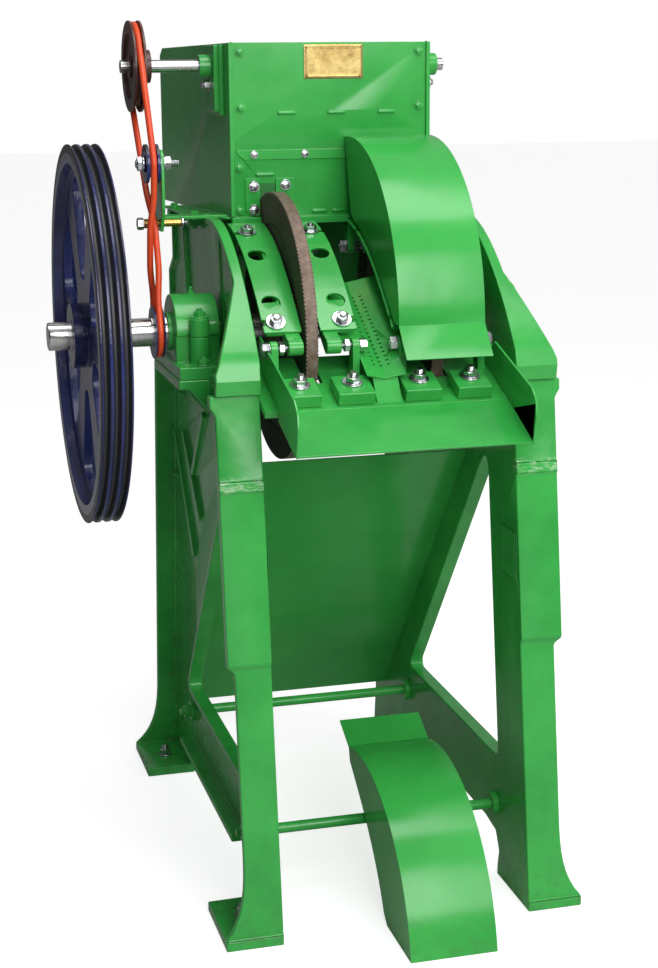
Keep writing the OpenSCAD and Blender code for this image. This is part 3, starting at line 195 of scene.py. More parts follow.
def makeEnamel(name):
    paint = enamels[name]
    mat, tree, shader, place, point = newMaterial(name)
    skin = useGroup(tree, "skin", {"Place": place, "Wave Scale": paint["waves"][0], "Waves": paint["waves"][1],
                                   "Grain Scale": paint["grains"][0], "Grains": paint["grains"][1]})
    wearAndHighlight = useGroup(tree, "wearAndHighlight", {"Place": place, "Point": point, "Amount": paint["chips"]})
    dirtAndShade = useGroup(tree, "grimeAndCreaseShade", {"Place": place, "Point": point, "Amount": paint["dirtAndShade"]})["DirtAndShade"]
    colour = mixed(tree, ramp(tree, skin["Patches"], 0.3, 0.7), paint["deep"], paint["light"])
    # Painted highlight: convex edges tinted paler, partly for thinning paint
    colour = mixed(tree, maths(tree, "MULTIPLY", wearAndHighlight["RubAndHighlight"], 0.35), colour, tuple(min(1, 1.5 * c + 0.05) for c in paint["light"]))
    if paint["paintedBendHighlight"]:
        # Painted highlight: a pale streaky band across the bend of each front flange, where the light catches it
        axes = node(tree, "SeparateXYZ", {0: place}).outputs
        band = maths(tree, "MULTIPLY", ramp(tree, axes["Z"], 0.842, 0.85), ramp(tree, axes["Z"], 0.878, 0.866))
        front = ramp(tree, axes["Y"], -0.405, -0.412)
        streaks = node(tree, "Mapping", {"Vector": place, "Scale": (1.0, 1.0, 3.0)}).outputs[0]
        highlightStreaks = ramp(tree, noise(tree, streaks, 55.0, 5.0, 0.75), 0.5, 0.6)
        bendHighlight = maths(tree, "MULTIPLY", maths(tree, "MULTIPLY", band, front), highlightStreaks)
        colour = mixed(tree, maths(tree, "MULTIPLY", bendHighlight, 0.75), colour, (0.42, 0.62, 0.4))
    # Dirt and painted shade: darker near the floor, in hollows and in blotches
    colour = mixed(tree, dirtAndShade, colour, (0.05, 0.045, 0.025))
    colour = mixed(tree, wearAndHighlight["Chips"], colour, paint["under"])
    tree.links.new(colour, shader.inputs["Base Color"])
    gloss = maths(tree, "ADD", maths(tree, "MULTIPLY", skin["Patches"], 0.12), paint["rough"] - 0.05)
    tree.links.new(maths(tree, "ADD", gloss, maths(tree, "MULTIPLY", dirtAndShade, 0.4), True), shader.inputs["Roughness"])
    bump = node(tree, "Bump", {"Height": skin["Height"], "Strength": 1.0, "Distance": 0.0007})
    tree.links.new(bump.outputs[0], shader.inputs["Normal"])
    return mat


pulleyPaint = {"middle": (-0.5055, -0.0906, 1.096), "grooveOuter": 0.3592, "grooveInner": 0.343,
               "navy": (0.006, 0.009, 0.06), "bright": (0.02, 0.03, 0.16), "flank": (0.035, 0.036, 0.042)}


def radiusFrom(tree, place, middle):
    # Distance from the line through the middle that runs along X
    moved = node(tree, "VectorMath", {0: place, 1: (0, middle[1], middle[2])}, operation="SUBTRACT").outputs[0]
    flat = node(tree, "VectorMath", {0: moved, 1: (0, 1, 1)}, operation="MULTIPLY").outputs[0]
    return node(tree, "VectorMath", {0: flat}, operation="LENGTH").outputs["Value"]


def makeNavy():
    mat, tree, shader, place, point = newMaterial("navyEnamel")
    skin = useGroup(tree, "skin", {"Place": place, "Wave Scale": 45.0, "Waves": 1.6, "Grain Scale": 170.0, "Grains": 0.9})
    wearAndHighlight = useGroup(tree, "wearAndHighlight", {"Place": place, "Point": point, "Amount": 0.5})
    dirtAndShade = useGroup(tree, "grimeAndCreaseShade", {"Place": place, "Point": point, "Amount": 0.7})["DirtAndShade"]
    colour = mixed(tree, ramp(tree, skin["Patches"], 0.35, 0.65), pulleyPaint["navy"], pulleyPaint["bright"])
    radius = radiusFrom(tree, place, pulleyPaint["middle"])
    groove = maths(tree, "MULTIPLY", ramp(tree, radius, pulleyPaint["grooveOuter"], pulleyPaint["grooveOuter"] - 0.001),
                   ramp(tree, radius, pulleyPaint["grooveInner"], pulleyPaint["grooveInner"] + 0.001))
    colour = mixed(tree, groove, colour, pulleyPaint["flank"])
    # Fine pale flecks of dust on the rough casting
    flecks = ramp(tree, noise(tree, place, 420.0, 3.0, 0.7), 0.66, 0.74)
    colour = mixed(tree, maths(tree, "MULTIPLY", flecks, 0.3), colour, (0.22, 0.25, 0.33))
    # Dirt and painted shade: darker near the floor, in hollows and in blotches
    colour = mixed(tree, dirtAndShade, colour, (0.03, 0.03, 0.03))
    colour = mixed(tree, wearAndHighlight["Chips"], colour, (0.2, 0.2, 0.22))
    tree.links.new(colour, shader.inputs["Base Color"])
    gloss = maths(tree, "ADD", maths(tree, "MULTIPLY", groove, 0.22), maths(tree, "MULTIPLY", dirtAndShade, 0.3))
    tree.links.new(maths(tree, "ADD", gloss, 0.2, True), shader.inputs["Roughness"])
    bump = node(tree, "Bump", {"Height": skin["Height"], "Strength": 1.0, "Distance": 0.0006})
    tree.links.new(bump.outputs[0], shader.inputs["Normal"])
    return mat


discGrooveShade = {"middle": -0.010, "apart": 0.1215, "low": 0.009, "high": 0.0118}


def makeIron():
    mat, tree, shader, place, point = newMaterial("discIron")
    skin = useGroup(tree, "skin", {"Place": place, "Wave Scale": 30.0, "Waves": 0.3, "Grain Scale": 420.0, "Grains": 0.7})
    wearAndHighlight = useGroup(tree, "wearAndHighlight", {"Place": place, "Point": point, "Amount": 0.6})
    radius = radiusFrom(tree, place, pulleyPaint["middle"])
    rim = ramp(tree, radius, 0.2595, 0.2608)
    # Height over the core of the nearer disc: the two discs stand at equal distances from the middle of the pair
    across = maths(tree, "SUBTRACT", node(tree, "SeparateXYZ", {0: place}).outputs["X"], discGrooveShade["middle"])
    stand = maths(tree, "ABSOLUTE", maths(tree, "SUBTRACT", maths(tree, "ABSOLUTE", across), discGrooveShade["apart"]))
    crest = ramp(tree, stand, discGrooveShade["low"], discGrooveShade["high"])
    stone = mixed(tree, ramp(tree, skin["Patches"], 0.35, 0.7), (0.05, 0.038, 0.03), (0.115, 0.09, 0.072))
    # Painted shade: the grooves between the ribs are near black, the crests stony brown-grey
    face = mixed(tree, crest, (0.004, 0.004, 0.003), stone)
    band = mixed(tree, ramp(tree, noise(tree, place, 70.0, 5.0, 0.7), 0.35, 0.7), (0.13, 0.085, 0.06), (0.24, 0.18, 0.145))
    colour = mixed(tree, rim, face, band)
    # Painted highlight: convex edges paler, partly worn metal
    colour = mixed(tree, wearAndHighlight["RubAndHighlight"], colour, (0.17, 0.14, 0.12))
    tree.links.new(colour, shader.inputs["Base Color"])
    tree.links.new(maths(tree, "ADD", maths(tree, "MULTIPLY", skin["Patches"], 0.3), 0.38), shader.inputs["Roughness"])
    shader.inputs["Metallic"].default_value = 0.35
    bump = node(tree, "Bump", {"Height": skin["Height"], "Strength": 0.8, "Distance": 0.0004})
    tree.links.new(bump.outputs[0], shader.inputs["Normal"])
    return mat


metals = {
    "zincPlate": {"dull": (0.36, 0.37, 0.38), "bright": (0.66, 0.68, 0.7), "stain": (0.2, 0.17, 0.13), "rough": 0.24, "grain": 0.1},
    "brightSteel": {"dull": (0.42, 0.41, 0.4), "bright": (0.68, 0.67, 0.66), "stain": (0.25, 0.19, 0.13), "rough": 0.22, "grain": 0.25},
    "agedBrass": {"dull": (0.32, 0.19, 0.045), "bright": (0.68, 0.47, 0.15), "stain": (0.13, 0.075, 0.03), "rough": 0.3, "grain": 0.2},
}


def makeMetal(name):
    look = metals[name]
    mat, tree, shader, place, point = newMaterial(name)
    turned = useGroup(tree, "turned", {"Place": place})
    wearAndHighlight = useGroup(tree, "wearAndHighlight", {"Place": place, "Point": point, "Amount": 0.8})
    colour = mixed(tree, ramp(tree, turned["Rings"], 0.3, 0.7), look["dull"], look["bright"])
    stains = ramp(tree, turned["Stains"], 0.55, 0.75)
    colour = mixed(tree, maths(tree, "MULTIPLY", stains, 0.55), colour, look["stain"])
    # Painted highlight: convex edges brighter, partly rubbed metal
    colour = mixed(tree, wearAndHighlight["RubAndHighlight"], colour, look["bright"])
    tree.links.new(colour, shader.inputs["Base Color"])
    tree.links.new(maths(tree, "ADD", maths(tree, "MULTIPLY", stains, 0.3), look["rough"], True), shader.inputs["Roughness"])
    shader.inputs["Metallic"].default_value = 1.0
    bump = node(tree, "Bump", {"Height": turned["Rings"], "Strength": look["grain"], "Distance": 0.0002})
    tree.links.new(bump.outputs[0], shader.inputs["Normal"])
    return mat


plateLook = {"middle": (0.006, 1.603), "half": (0.06, 0.033), "dull": (0.3, 0.2, 0.06), "bright": (0.66, 0.5, 0.2),
             "stain": (0.1, 0.055, 0.03)}


def makePlateBrass():
    mat, tree, shader, place, point = newMaterial("plateBrass")
    axes = node(tree, "SeparateXYZ", {0: place}).outputs
    reach = []
    for axis, middle, half in (("X", plateLook["middle"][0], plateLook["half"][0]),
                               ("Z", plateLook["middle"][1], plateLook["half"][1])):
        off = maths(tree, "ABSOLUTE", maths(tree, "SUBTRACT", axes[axis], middle))
        reach.append(maths(tree, "SUBTRACT", half, off))
    edge = maths(tree, "MINIMUM", *reach)
    # Dark where the distance to the edge is near that of the engraved lines
    line = maths(tree, "LESS_THAN", maths(tree, "ABSOLUTE", maths(tree, "SUBTRACT", edge, 0.0032)), 0.0006)
    outer = ramp(tree, edge, 0.0016, 0.0002)
    cloud = ramp(tree, noise(tree, place, 34.0, 5.0, 0.65), 0.3, 0.7)
    colour = mixed(tree, cloud, plateLook["dull"], plateLook["bright"])
    spots = ramp(tree, noise(tree, place, 150.0, 6.0, 0.75), 0.54, 0.7)
    colour = mixed(tree, maths(tree, "MULTIPLY", spots, 0.6), colour, plateLook["stain"])
    colour = mixed(tree, maths(tree, "MULTIPLY", maths(tree, "MAXIMUM", line, outer), 0.8), colour, plateLook["stain"])
    tree.links.new(colour, shader.inputs["Base Color"])
    tree.links.new(maths(tree, "ADD", maths(tree, "MULTIPLY", spots, 0.3), 0.3), shader.inputs["Roughness"])
    shader.inputs["Metallic"].default_value = 1.0
    bump = node(tree, "Bump", {"Height": spots, "Strength": 0.3, "Distance": 0.0002})
    tree.links.new(bump.outputs[0], shader.inputs["Normal"])
    return mat


def makeBeltRubber():
    mat, tree, shader, place, point = newMaterial("beltRubber")
    skin = useGroup(tree, "skin", {"Place": place, "Wave Scale": 120.0, "Waves": 0.3, "Grain Scale": 800.0, "Grains": 0.3})
    colour = mixed(tree, ramp(tree, skin["Patches"], 0.3, 0.7), (0.62, 0.045, 0.012), (0.85, 0.09, 0.02))
    smears = ramp(tree, noise(tree, place, 85.0, 5.0, 0.7), 0.56, 0.75)
    colour = mixed(tree, maths(tree, "MULTIPLY", smears, 0.35), colour, (0.25, 0.03, 0.02))
    tree.links.new(colour, shader.inputs["Base Color"])
    tree.links.new(maths(tree, "ADD", maths(tree, "MULTIPLY", smears, 0.25), 0.38), shader.inputs["Roughness"])
    bump = node(tree, "Bump", {"Height": skin["Height"], "Strength": 0.6, "Distance": 0.0003})
    tree.links.new(bump.outputs[0], shader.inputs["Normal"])
    return mat


def makeStage():
    mesh = bpy.data.meshes.new("floor")
    half = 30.0
    mesh.from_pydata([(-half, -half, 0), (half, -half, 0), (half, half, 0), (-half, half, 0)], [], [(0, 1, 2, 3)])
    floor = bpy.data.objects.new("floor", mesh)
    bpy.context.scene.collection.objects.link(floor)
    mat = bpy.data.materials.new("floorPaint")
    mat.use_nodes = True
    tree = mat.node_tree
    shader = tree.nodes["Principled BSDF"]
    shader.inputs["Base Color"].default_value = (studio["floorTone"],) * 3 + (1,)
    shader.inputs["Roughness"].default_value = 0.9
    shader.inputs["Emission Color"].default_value = (1, 1, 1, 1)
    seen = node(tree, "LightPath").outputs["Is Camera Ray"]
    tree.links.new(maths(tree, "MULTIPLY", seen, studio["floorLift"]), shader.inputs["Emission Strength"])
    mesh.materials.append(mat)
    world = bpy.data.worlds.new("world")
    world.use_nodes = True
    tree = world.node_tree
    back = tree.nodes["Background"]
    back.inputs["Color"].default_value = (1, 1, 1, 1)
    # The sky's strength grows upwards and to the right, which leaves the faces on the left in shade
    way = node(tree, "SeparateXYZ", {0: node(tree, "TexCoord").outputs["Generated"]}).outputs
    side = maths(tree, "ADD", maths(tree, "MULTIPLY", way["X"], 0.6), maths(tree, "MULTIPLY", way["Z"], 0.7))
    sky = node(tree, "MapRange", {"Value": side, "From Min": -0.45, "From Max": 0.75, "To Min": studio["skyLow"],
                                  "To Max": studio["skyHigh"]}, interpolation_type="SMOOTHSTEP").outputs["Result"]
    seen = node(tree, "LightPath").outputs["Is Camera Ray"]
    tree.links.new(maths(tree, "MAXIMUM", sky, seen), back.inputs["Strength"])
    bpy.context.scene.world = world
    for name, place, target, size, power in studio["lamps"]:
        lamp = bpy.data.lights.new(name, "AREA")
        lamp.energy = power
        lamp.size = size
        obj = bpy.data.objects.new(name, lamp)
        obj.location = place
        obj.rotation_euler = (Vector(target) - Vector(place)).to_track_quat("-Z", "Y").to_euler()
        bpy.context.scene.collection.objects.link(obj)


# Solid shapes as arrays of points with their faces
def gridFaces(rows, cols, wrap=True):
    # Quads between neighbouring rows, with the last column joined to the first where it wraps
    i, j = np.meshgrid(np.arange(rows - 1), np.arange(cols if wrap else cols - 1), indexing="ij")
    k = (j + 1) % cols
    return np.stack([i * cols + j, i * cols + k, (i + 1) * cols + k, (i + 1) * cols + j], -1).reshape(-1, 4)


def lathe(profile, sides=28):
    # Each point is (radius * cos(turn), radius * sin(turn), height) for the radius and height pairs of the profile
    profile = np.asarray(profile, float)
    turn = np.linspace(0, 2 * np.pi, sides, endpoint=False)
    points = np.stack([np.outer(profile[:, 0], np.cos(turn)), np.outer(profile[:, 0], np.sin(turn)),
                       np.repeat(profile[:, 1:], sides, 1)], -1)
    return points.reshape(-1, 3), gridFaces(len(profile), sides)


def hexHead(corner, height, both=False):
    # The outline's radius is flat / cos(turn within a sixth); where it passes the chamfer circle the top falls by half the excess
    turn = np.linspace(0, 2 * np.pi, 48, endpoint=False)
    flat = corner * math.cos(math.pi / 6)
    outline = flat / np.cos((turn % (np.pi / 3)) - np.pi / 6)
    circle = np.minimum(outline, flat * 0.96)
    drop = (outline - circle) * 0.55
    foot = drop if both else np.zeros(48)
    rings = [(0 * turn, 0 * turn), (circle if both else outline, 0 * turn), (outline, foot), (outline, height - drop),
             (circle, 0 * turn + height), (0 * turn, 0 * turn + height)]
    points = np.concatenate([np.stack([r * np.cos(turn), r * np.sin(turn), z], -1) for r, z in rings])
    return points, gridFaces(len(rings), 48)


def thread(radius, low, high, pitch=1.75, depth=0.9, sides=18):
    # The radius falls by depth times a triangular wave of height over pitch plus one wave per turn, and eases at both ends
    height = np.arange(low, high, pitch / 4)
    turn = np.linspace(0, 2 * np.pi, sides, endpoint=False)
    wave = np.abs(((height[:, None] / pitch + turn / (2 * np.pi)) % 1) * 2 - 1)
    r = radius - depth * wave
    r = np.minimum(r, radius - 1.2 + np.minimum(height - low, high - height)[:, None])
    points = np.stack([r * np.cos(turn), r * np.sin(turn), np.repeat(height[:, None], sides, 1)], -1)
    ends = np.zeros((1, sides, 3))
    points = np.concatenate([ends + (0, 0, height[0]), points, ends + (0, 0, height[-1])])
    return points.reshape(-1, 3), gridFaces(len(points), sides)


def washer(radius, thick, hole=0.0):
    ease = min(0.6, thick * 0.35)
    return lathe([(hole, 0), (radius - ease, 0), (radius, ease), (radius, thick - ease), (radius - ease, thick), (hole, thick)], 32)


def stood(part, at, up=(0, 0, 1), spin=0.0):
    # Turns a part by spin degrees about its own Z, then points Z along up and moves it to its place
    points, faces = part
    up = np.asarray(up, float) / np.linalg.norm(up)
    side = np.cross((1.0, 0, 0) if abs(up[0]) < 0.9 else (0, 1.0, 0), up)
    side /= np.linalg.norm(side)
    across = np.cross(up, side)
    c, s = math.cos(math.radians(spin)), math.sin(math.radians(spin))
    turned = np.stack([points[:, 0] * c - points[:, 1] * s, points[:, 0] * s + points[:, 1] * c, points[:, 2]], -1)
    return turned @ np.stack([side, across, up]) + np.asarray(at, float), faces


def bolt(at, up, corner, head, washerR, washerT, stud=0.0, shank=0.0, spin=0.0, shankR=6.0):
    # Washer, hexagon head or nut and, where given, the threaded end above and the shank below
    up = np.asarray(up, float) / np.linalg.norm(up)
    at = np.asarray(at, float)
    parts = [stood(washer(washerR, washerT), at, up), stood(hexHead(corner, head), at + up * washerT, up, spin)]
    if stud:
        parts.append(stood(thread(shankR, 0.0, stud), at + up * (washerT + head - 1), up))
    if shank:
        parts.append(stood(lathe([(0, 0), (shankR, 0), (shankR, shank + 1), (0, shank + 1)], 20), at - up * shank, up))
    return parts


def finishMesh(mesh, angle):
    work = bmesh.new()
    work.from_mesh(mesh)
    bmesh.ops.remove_doubles(work, verts=work.verts, dist=1e-7)
    bmesh.ops.dissolve_degenerate(work, edges=work.edges, dist=1e-8)
    bmesh.ops.recalc_face_normals(work, faces=work.faces)
    work.to_mesh(mesh)
    work.free()
    mesh.shade_smooth()
    mesh.set_sharp_from_angle(angle=math.radians(angle))


def addPiece(name, parts, paint, body, replaces=(), angle=32):
    # Joins parts in mm into one piece in metres
    points, faces, count = [], [], 0
    for part, quads in parts:
        points.append(part)
        faces.append(quads + count)
        count += len(part)
    mesh = bpy.data.meshes.new(name)
    mesh.from_pydata((np.concatenate(points) * mm).tolist(), [], np.concatenate(faces).tolist())
    finishMesh(mesh, angle)
    mesh.materials.append(paints[paint])
    obj = bpy.data.objects.new(name, mesh)
    bpy.context.scene.collection.objects.link(obj)
    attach(obj, body)
    if replaces:
        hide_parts(*replaces)
    return obj


# CAD nodes whose edges are eased, with the width of the round in mm, by finish
easing = {
    "greenCasting": {"left_leg": 3.0, "right_leg": 3.0, "left_cheek": 2.5, "right_cheek": 2.5, "bearing_bases": 2.0,
                     "bearing_caps": 2.5, "bearing_bushes": 0.8, "feed_bearings": 1.6, "chop_bed": 1.6, "base_blocks": 2.2, "tie_rods": 0.8,
                     "tie_rod_nuts": 1.2, "chop_bar_1": 1.8, "chop_bar_2": 1.8, "chop_bar_3": 1.8, "chop_bar_4": 1.8,
                     "feed_agitator": 0.8},
    "greenSheet": {"hopper_front": 0.9, "hopper_left_side": 1.0, "hopper_right_side": 1.0, "hopper_back": 0.8,
                   "gate_plates": 0.8, "discharge_tray": 0.9, "chop_plate_1": 1.2, "chop_plate_2": 1.2,
                   "chop_plate_3": 1.2, "chop_plate_4": 1.2, "disc_cover": 0.7, "loose_cover": 0.7,
                   "pulp_chute": 0.7, "jockey_bracket": 1.0, "disc_apron": 0.5},
    "navyEnamel": {"drive_pulley": 1.6, "drive_sheave": 0.8, "jockey_pulley": 1.0},
    "brownEnamel": {"feed_pulley": 1.2},
    "brightSteel": {"main_shaft": 0.7, "feed_shaft": 0.7},
    "agedBrass": {"guide_bush": 0.6},
}


def easedCopy(name, paint, width):
    # A merged copy of the node, with flat faces joined and its sharp edges rounded
    mesh = frame["nodes"][name].data.copy()
    mesh.name = name + "Eased"
    work = bmesh.new()
    work.from_mesh(mesh)
    bmesh.ops.remove_doubles(work, verts=work.verts, dist=2e-6)
    bmesh.ops.dissolve_limit(work, angle_limit=math.radians(0.4), verts=work.verts, edges=work.edges)
    work.to_mesh(mesh)
    work.free()
    mesh.shade_smooth()
    mesh.set_sharp_from_angle(angle=math.radians(30))
    mesh.materials.clear()
    mesh.materials.append(paints[paint])
    obj = bpy.data.objects.new(name + "Eased", mesh)
    bpy.context.scene.collection.objects.link(obj)
    bevel = obj.modifiers.new("easedEdges", "BEVEL")
    bevel.width = width * mm
    bevel.segments = 2
    bevel.limit_method = "ANGLE"
    bevel.angle_limit = math.radians(30)
    bevel.use_clamp_overlap = False
    bevel.harden_normals = True
    bevel.miter_outer = "MITER_ARC"
    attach(obj, bodyOf[name])
    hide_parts(name)
    return obj


discs = {"radius": 261.5, "core": 8.6, "rib": 3.4, "places": {"left_disc": -131.5, "right_disc": 111.5},
         "middle": (-90.6, 1096.0), "ribs": 210, "lean": 8.5, "zone": 200.0, "inner": 108.0, "hub": 60.0, "hubHalf": 34.0}


def makeDisc(name):
    # Each face is a polar sheet: rows of growing radius, columns that follow the ribs, which lean one way inside the
    # zone line and the other way outside it; every second pair of columns stands a rib's height above the core
    cols = discs["ribs"] * 4
    column = np.arange(cols)
    crest = np.where(column % 4 < 3, discs["rib"], 0.0)
    rows = [(discs["hub"], 0, 0), (discs["inner"] - 3, 0, 0), (discs["inner"], 0, 0), (discs["inner"] + 3, 1, 0.03),
            (150, 1, 0.46), (discs["zone"] - 2, 1, 0.98), (discs["zone"], 0.35, 1), (discs["zone"] + 2, 1, 0.97),
            (225, 1, 0.6), (discs["radius"] - 1.5, 1, 0.02), (discs["radius"], 0.9, 0)]
    radius = np.array([r for r, _, _ in rows])[:, None]
    height = np.array([h for _, h, _ in rows])[:, None] * crest
    turn = 2 * np.pi * column / cols + np.radians(discs["lean"]) * np.array([t for _, _, t in rows])[:, None]
    half = discs["core"] + height
    flat = np.stack([radius * np.cos(turn), radius * np.sin(turn)], -1)
    y, z = flat[..., 0] + discs["middle"][0], flat[..., 1] + discs["middle"][1]
    x = discs["places"][name]
    left = np.stack([x - half, y, z], -1)
    right = np.stack([x + half, y, z], -1)
    # The rim joins the two faces over a slightly crowned band
    crown = discs["radius"] + 0.5
    band = []
    for share in (-0.9, -0.45, 0.45, 0.9):
        r = crown if abs(share) < 0.6 else crown - 0.2
        band.append(np.stack([x + share * half[-1], discs["middle"][0] + (r - 0.5) * np.cos(turn[-1]),
                              discs["middle"][1] + (r - 0.5) * np.sin(turn[-1])], -1))
    sheet = np.concatenate([left, np.array(band), right[::-1]])
    parts = [(sheet.reshape(-1, 3), gridFaces(len(sheet), cols))]
    hub, end = discs["hub"], discs["hubHalf"]
    profile = [(0, -end), (hub - 3, -end), (hub, -end + 3), (hub, end - 3), (hub - 3, end), (0, end)]
    parts.append(stood(lathe(profile, 64), (x, *discs["middle"]), (1, 0, 0)))
    addPiece(name + "Ribbed", parts, "discIron", "shaft", (name,), 25)


belt = {"radius": 6.2, "x": -374.0, "sides": 20, "pass": 6.6, "flat": 26.0, "ease": 84.0,
        "wheels": [((88.0, 1596.0), 80.0, -1, 60), ((-44.7, 1300.5), 15.6, 1, 12),
                   ((-90.6, 1096.0), 44.0, 1, 48), ((-78.0, 1416.0), 32.0, -1, 12)]}


def leftOf(u):
    return np.array([-u[1], u[0]])


def heading(a, b):
    # Direction of the line that touches both circles on their own sides
    d = np.subtract(b[0], a[0])
    k = (b[2] * b[1] - a[2] * a[1]) / np.linalg.norm(d)
    u = d / np.linalg.norm(d)
    return math.sqrt(1 - k * k) * u - k * leftOf(u)


def makeBelt():
    # Arcs round the wheels and straight runs between them; near the crossing the strands step apart along X by a cosine
    wheels = belt["wheels"]
    around = lambda i: wheels[i % 4]
    leave = lambda a, b: np.array(a[0]) - a[2] * a[1] * leftOf(heading(a, b))
    meet = lambda a, b: np.array(b[0]) - b[2] * b[1] * leftOf(heading(a, b))
    bush, sheave, jockey = around(1), around(2), around(3)
    p, u = leave(bush, sheave), heading(bush, sheave)
    q, v = meet(sheave, jockey), heading(sheave, jockey)
    cross2 = lambda a, b: a[0] * b[1] - a[1] * b[0]
    crossZ = (p + u * cross2(q - p, v) / cross2(u, v))[1]
    flatRoute, sides = [], []
    for i in range(4):
        wheel, before, after = around(i), around(i - 1), around(i + 1)
        start, stop = meet(before, wheel) - wheel[0], leave(wheel, after) - wheel[0]
        a = math.atan2(start[1], start[0])
        sweep = (wheel[2] * (math.atan2(stop[1], stop[0]) - a)) % (2 * math.pi)
        turn = a + wheel[2] * sweep * np.linspace(0, 1, wheel[3] + 1)
        arc = np.array(wheel[0]) + wheel[1] * np.stack([np.cos(turn), np.sin(turn)], -1)
        share = np.linspace(0, 1, 42)[1:-1, None]
        straight = leave(wheel, after) * (1 - share) + meet(wheel, after) * share
        flatRoute += [arc, straight]
        sides += [np.full(len(arc), -1.0 if i == 3 else 1.0), np.full(len(straight), 1.0 if i < 2 else -1.0)]
    route, sides = np.concatenate(flatRoute), np.concatenate(sides)
    t = np.clip((np.abs(route[:, 1] - crossZ) - belt["flat"]) / belt["ease"], 0, 1)
    x = belt["x"] + sides * belt["pass"] * (1 + np.cos(np.pi * t)) / 2
    path = np.column_stack([x, route])
    along = np.roll(path, -1, 0) - np.roll(path, 1, 0)
    along /= np.linalg.norm(along, axis=1)[:, None]
    out = np.cross([1.0, 0, 0], along)
    out /= np.linalg.norm(out, axis=1)[:, None]
    side = np.cross(along, out)
    turn = np.linspace(0, 2 * np.pi, belt["sides"], endpoint=False)
    ring = path[:, None] + belt["radius"] * (np.cos(turn)[None, :, None] * out[:, None] + np.sin(turn)[None, :, None] * side[:, None])
    ring = np.concatenate([ring, ring[:1]])
    addPiece("roundBelt", [(ring.reshape(-1, 3), gridFaces(len(ring), belt["sides"]))], "beltRubber", "frame",
             ("drive_belt",), 60)


chops = {"middles": (-129.5, 113.5), "curve": [(-26.5, 1289.5), (-140, 1275), (-225, 1215), (-334, 1118)], "plate": 5.0, "boltS": 63.0,
         "boltT": (0.19, 0.945), "low": (-356.0, 1094.0), "high": (-10.0, 1240.0), "post": (70.0, 84.0), "tip": 27.0,
         "washers": (18.5, 18.5, 14.0, 14.0)}


def chopPoint(t):
    # Cubic curve through the four guide points, and its upward normal
    a, b, c, d = (np.array(p, float) for p in chops["curve"])
    point = (1 - t) ** 3 * a + 3 * t * (1 - t) ** 2 * b + 3 * t * t * (1 - t) * c + t ** 3 * d
    along = 3 * (1 - t) ** 2 * (b - a) + 6 * t * (1 - t) * (c - b) + 3 * t * t * (d - c)
    return point, -leftOf(along / np.linalg.norm(along))


def makeChopFasteners():
    for k in range(1, 5):
        x, away = chops["middles"][k > 2], -1 if k % 2 else 1
        parts = []
        for i, t in enumerate(chops["boltT"]):
            point, up = chopPoint(t)
            seat = point + chops["plate"] * up
            wide = chops["washers"][k - 1]
            parts += bolt((x + away * chops["boltS"], *seat), (0, *up), wide * 0.68, 9, wide, 3, 6, 12, 12 * k + 20 * i)
        addPiece(f"chopBolts_{k}", parts, "zincPlate", f"chop_{k}", (f"chop_bolts_{k}",))
        for label, cad, body, place in (("lowerScrew", "lower_screw", "low_screw", chops["low"]),
                                        ("upperScrew", "upper_screw", "high_screw", chops["high"])):
            turn = 10 * k if cad == "lower_screw" else 25
            at = lambda s: (x + away * s, *place)
            axis = (away, 0, 0)
            headS = chops["post"][1] + 2.5
            parts = [stood(thread(6.0, chops["tip"], headS + 1), (x, *place), axis),
                     stood(hexHead(12.5, 9.5, True), at(chops["post"][0] - 13), axis, turn),
                     stood(washer(12.5, 2), at(headS - 2.2), axis),
                     stood(hexHead(12.7, 13), at(headS), axis, turn + 18),
                     stood(lathe([(0, 0), (7.5, 0), (7.5, 1.5), (0, 1.5)], 24), at(headS + 12), axis)]
            addPiece(f"{label}_{k}", parts, "zincPlate", f"{body}_{k}", (f"{cad}_{k}",))


hopperBolts = {"front": -6.0, "jog": -1.6, "lap": -3.6, "gate": -4.6}


def makeFrameFasteners():
    zinc, painted = [], []
    for s in (-1, 1):
        for y in (-330, 130, 330):
            zinc += bolt((s * 278, y, 1034), (0, 0, 1), 11, 9, 15, 2.5, 6, 34, y)
        for d in (-1, 1):
            painted += bolt((s * 306.5, -90.6 + d * 84, 1131), (0, 0, 1), 12, 10, 17, 3, 7, 0, 20 * s)
            painted += bolt((s * 306.5, -90.6 + d * 117, 1044), (0, 0, 1), 12, 10, 12.5, 3, 5, 0, 8)
    addPiece("frameBolts", zinc, "zincPlate", "frame", ("frame_bolts",))
    addPiece("bearingBolts", painted, "greenCasting", "frame", ("frame_bolts",))
    silver, green = [], []
    for x in (-156, -53):
        silver += bolt((x, hopperBolts["lap"], 1425), (0, -1, 0), 6, 5, 8, 1.5)
    for s in (-1, 1):
        for x, z in ((149.5, 1363), (149.5, 1317), (85.5, 1365)):
            silver += bolt((-8 + s * x, hopperBolts["gate"], z), (0, -1, 0), 8, 6, 11, 1.5, 0, 0, x + z)
        for z in (1622, 1516):
            green += bolt((s * 182, hopperBolts["front"], z), (0, -1, 0), 7, 6, 10, 1.5, 0, 0, z)
        for z in (1400, 1316):
            green += bolt((s * 186, hopperBolts["jog"], z), (0, -1, 0), 7, 6, 10, 1.5, 0, 0, z)
        for y in (70, 290):
            green += bolt((s * 265, y, 1304), (0, 0, 1), 9, 7, 12, 2, 0, 26, y)
        silver += bolt((s * 225.2, 86.3, 1560), (s * 0.9978, -0.0663, 0), 10, 10, 13, 2, 6)
    addPiece("hopperBolts", silver, "zincPlate", "frame", ("hopper_bolts",))
    addPiece("paintedBolts", green, "greenCasting", "frame", ("hopper_bolts",))


bed = {"front": (-446.0, 994.0), "slope": 0.364, "stud": 50.0, "block": 24.0, "bolts": (63.5, 162.0)}


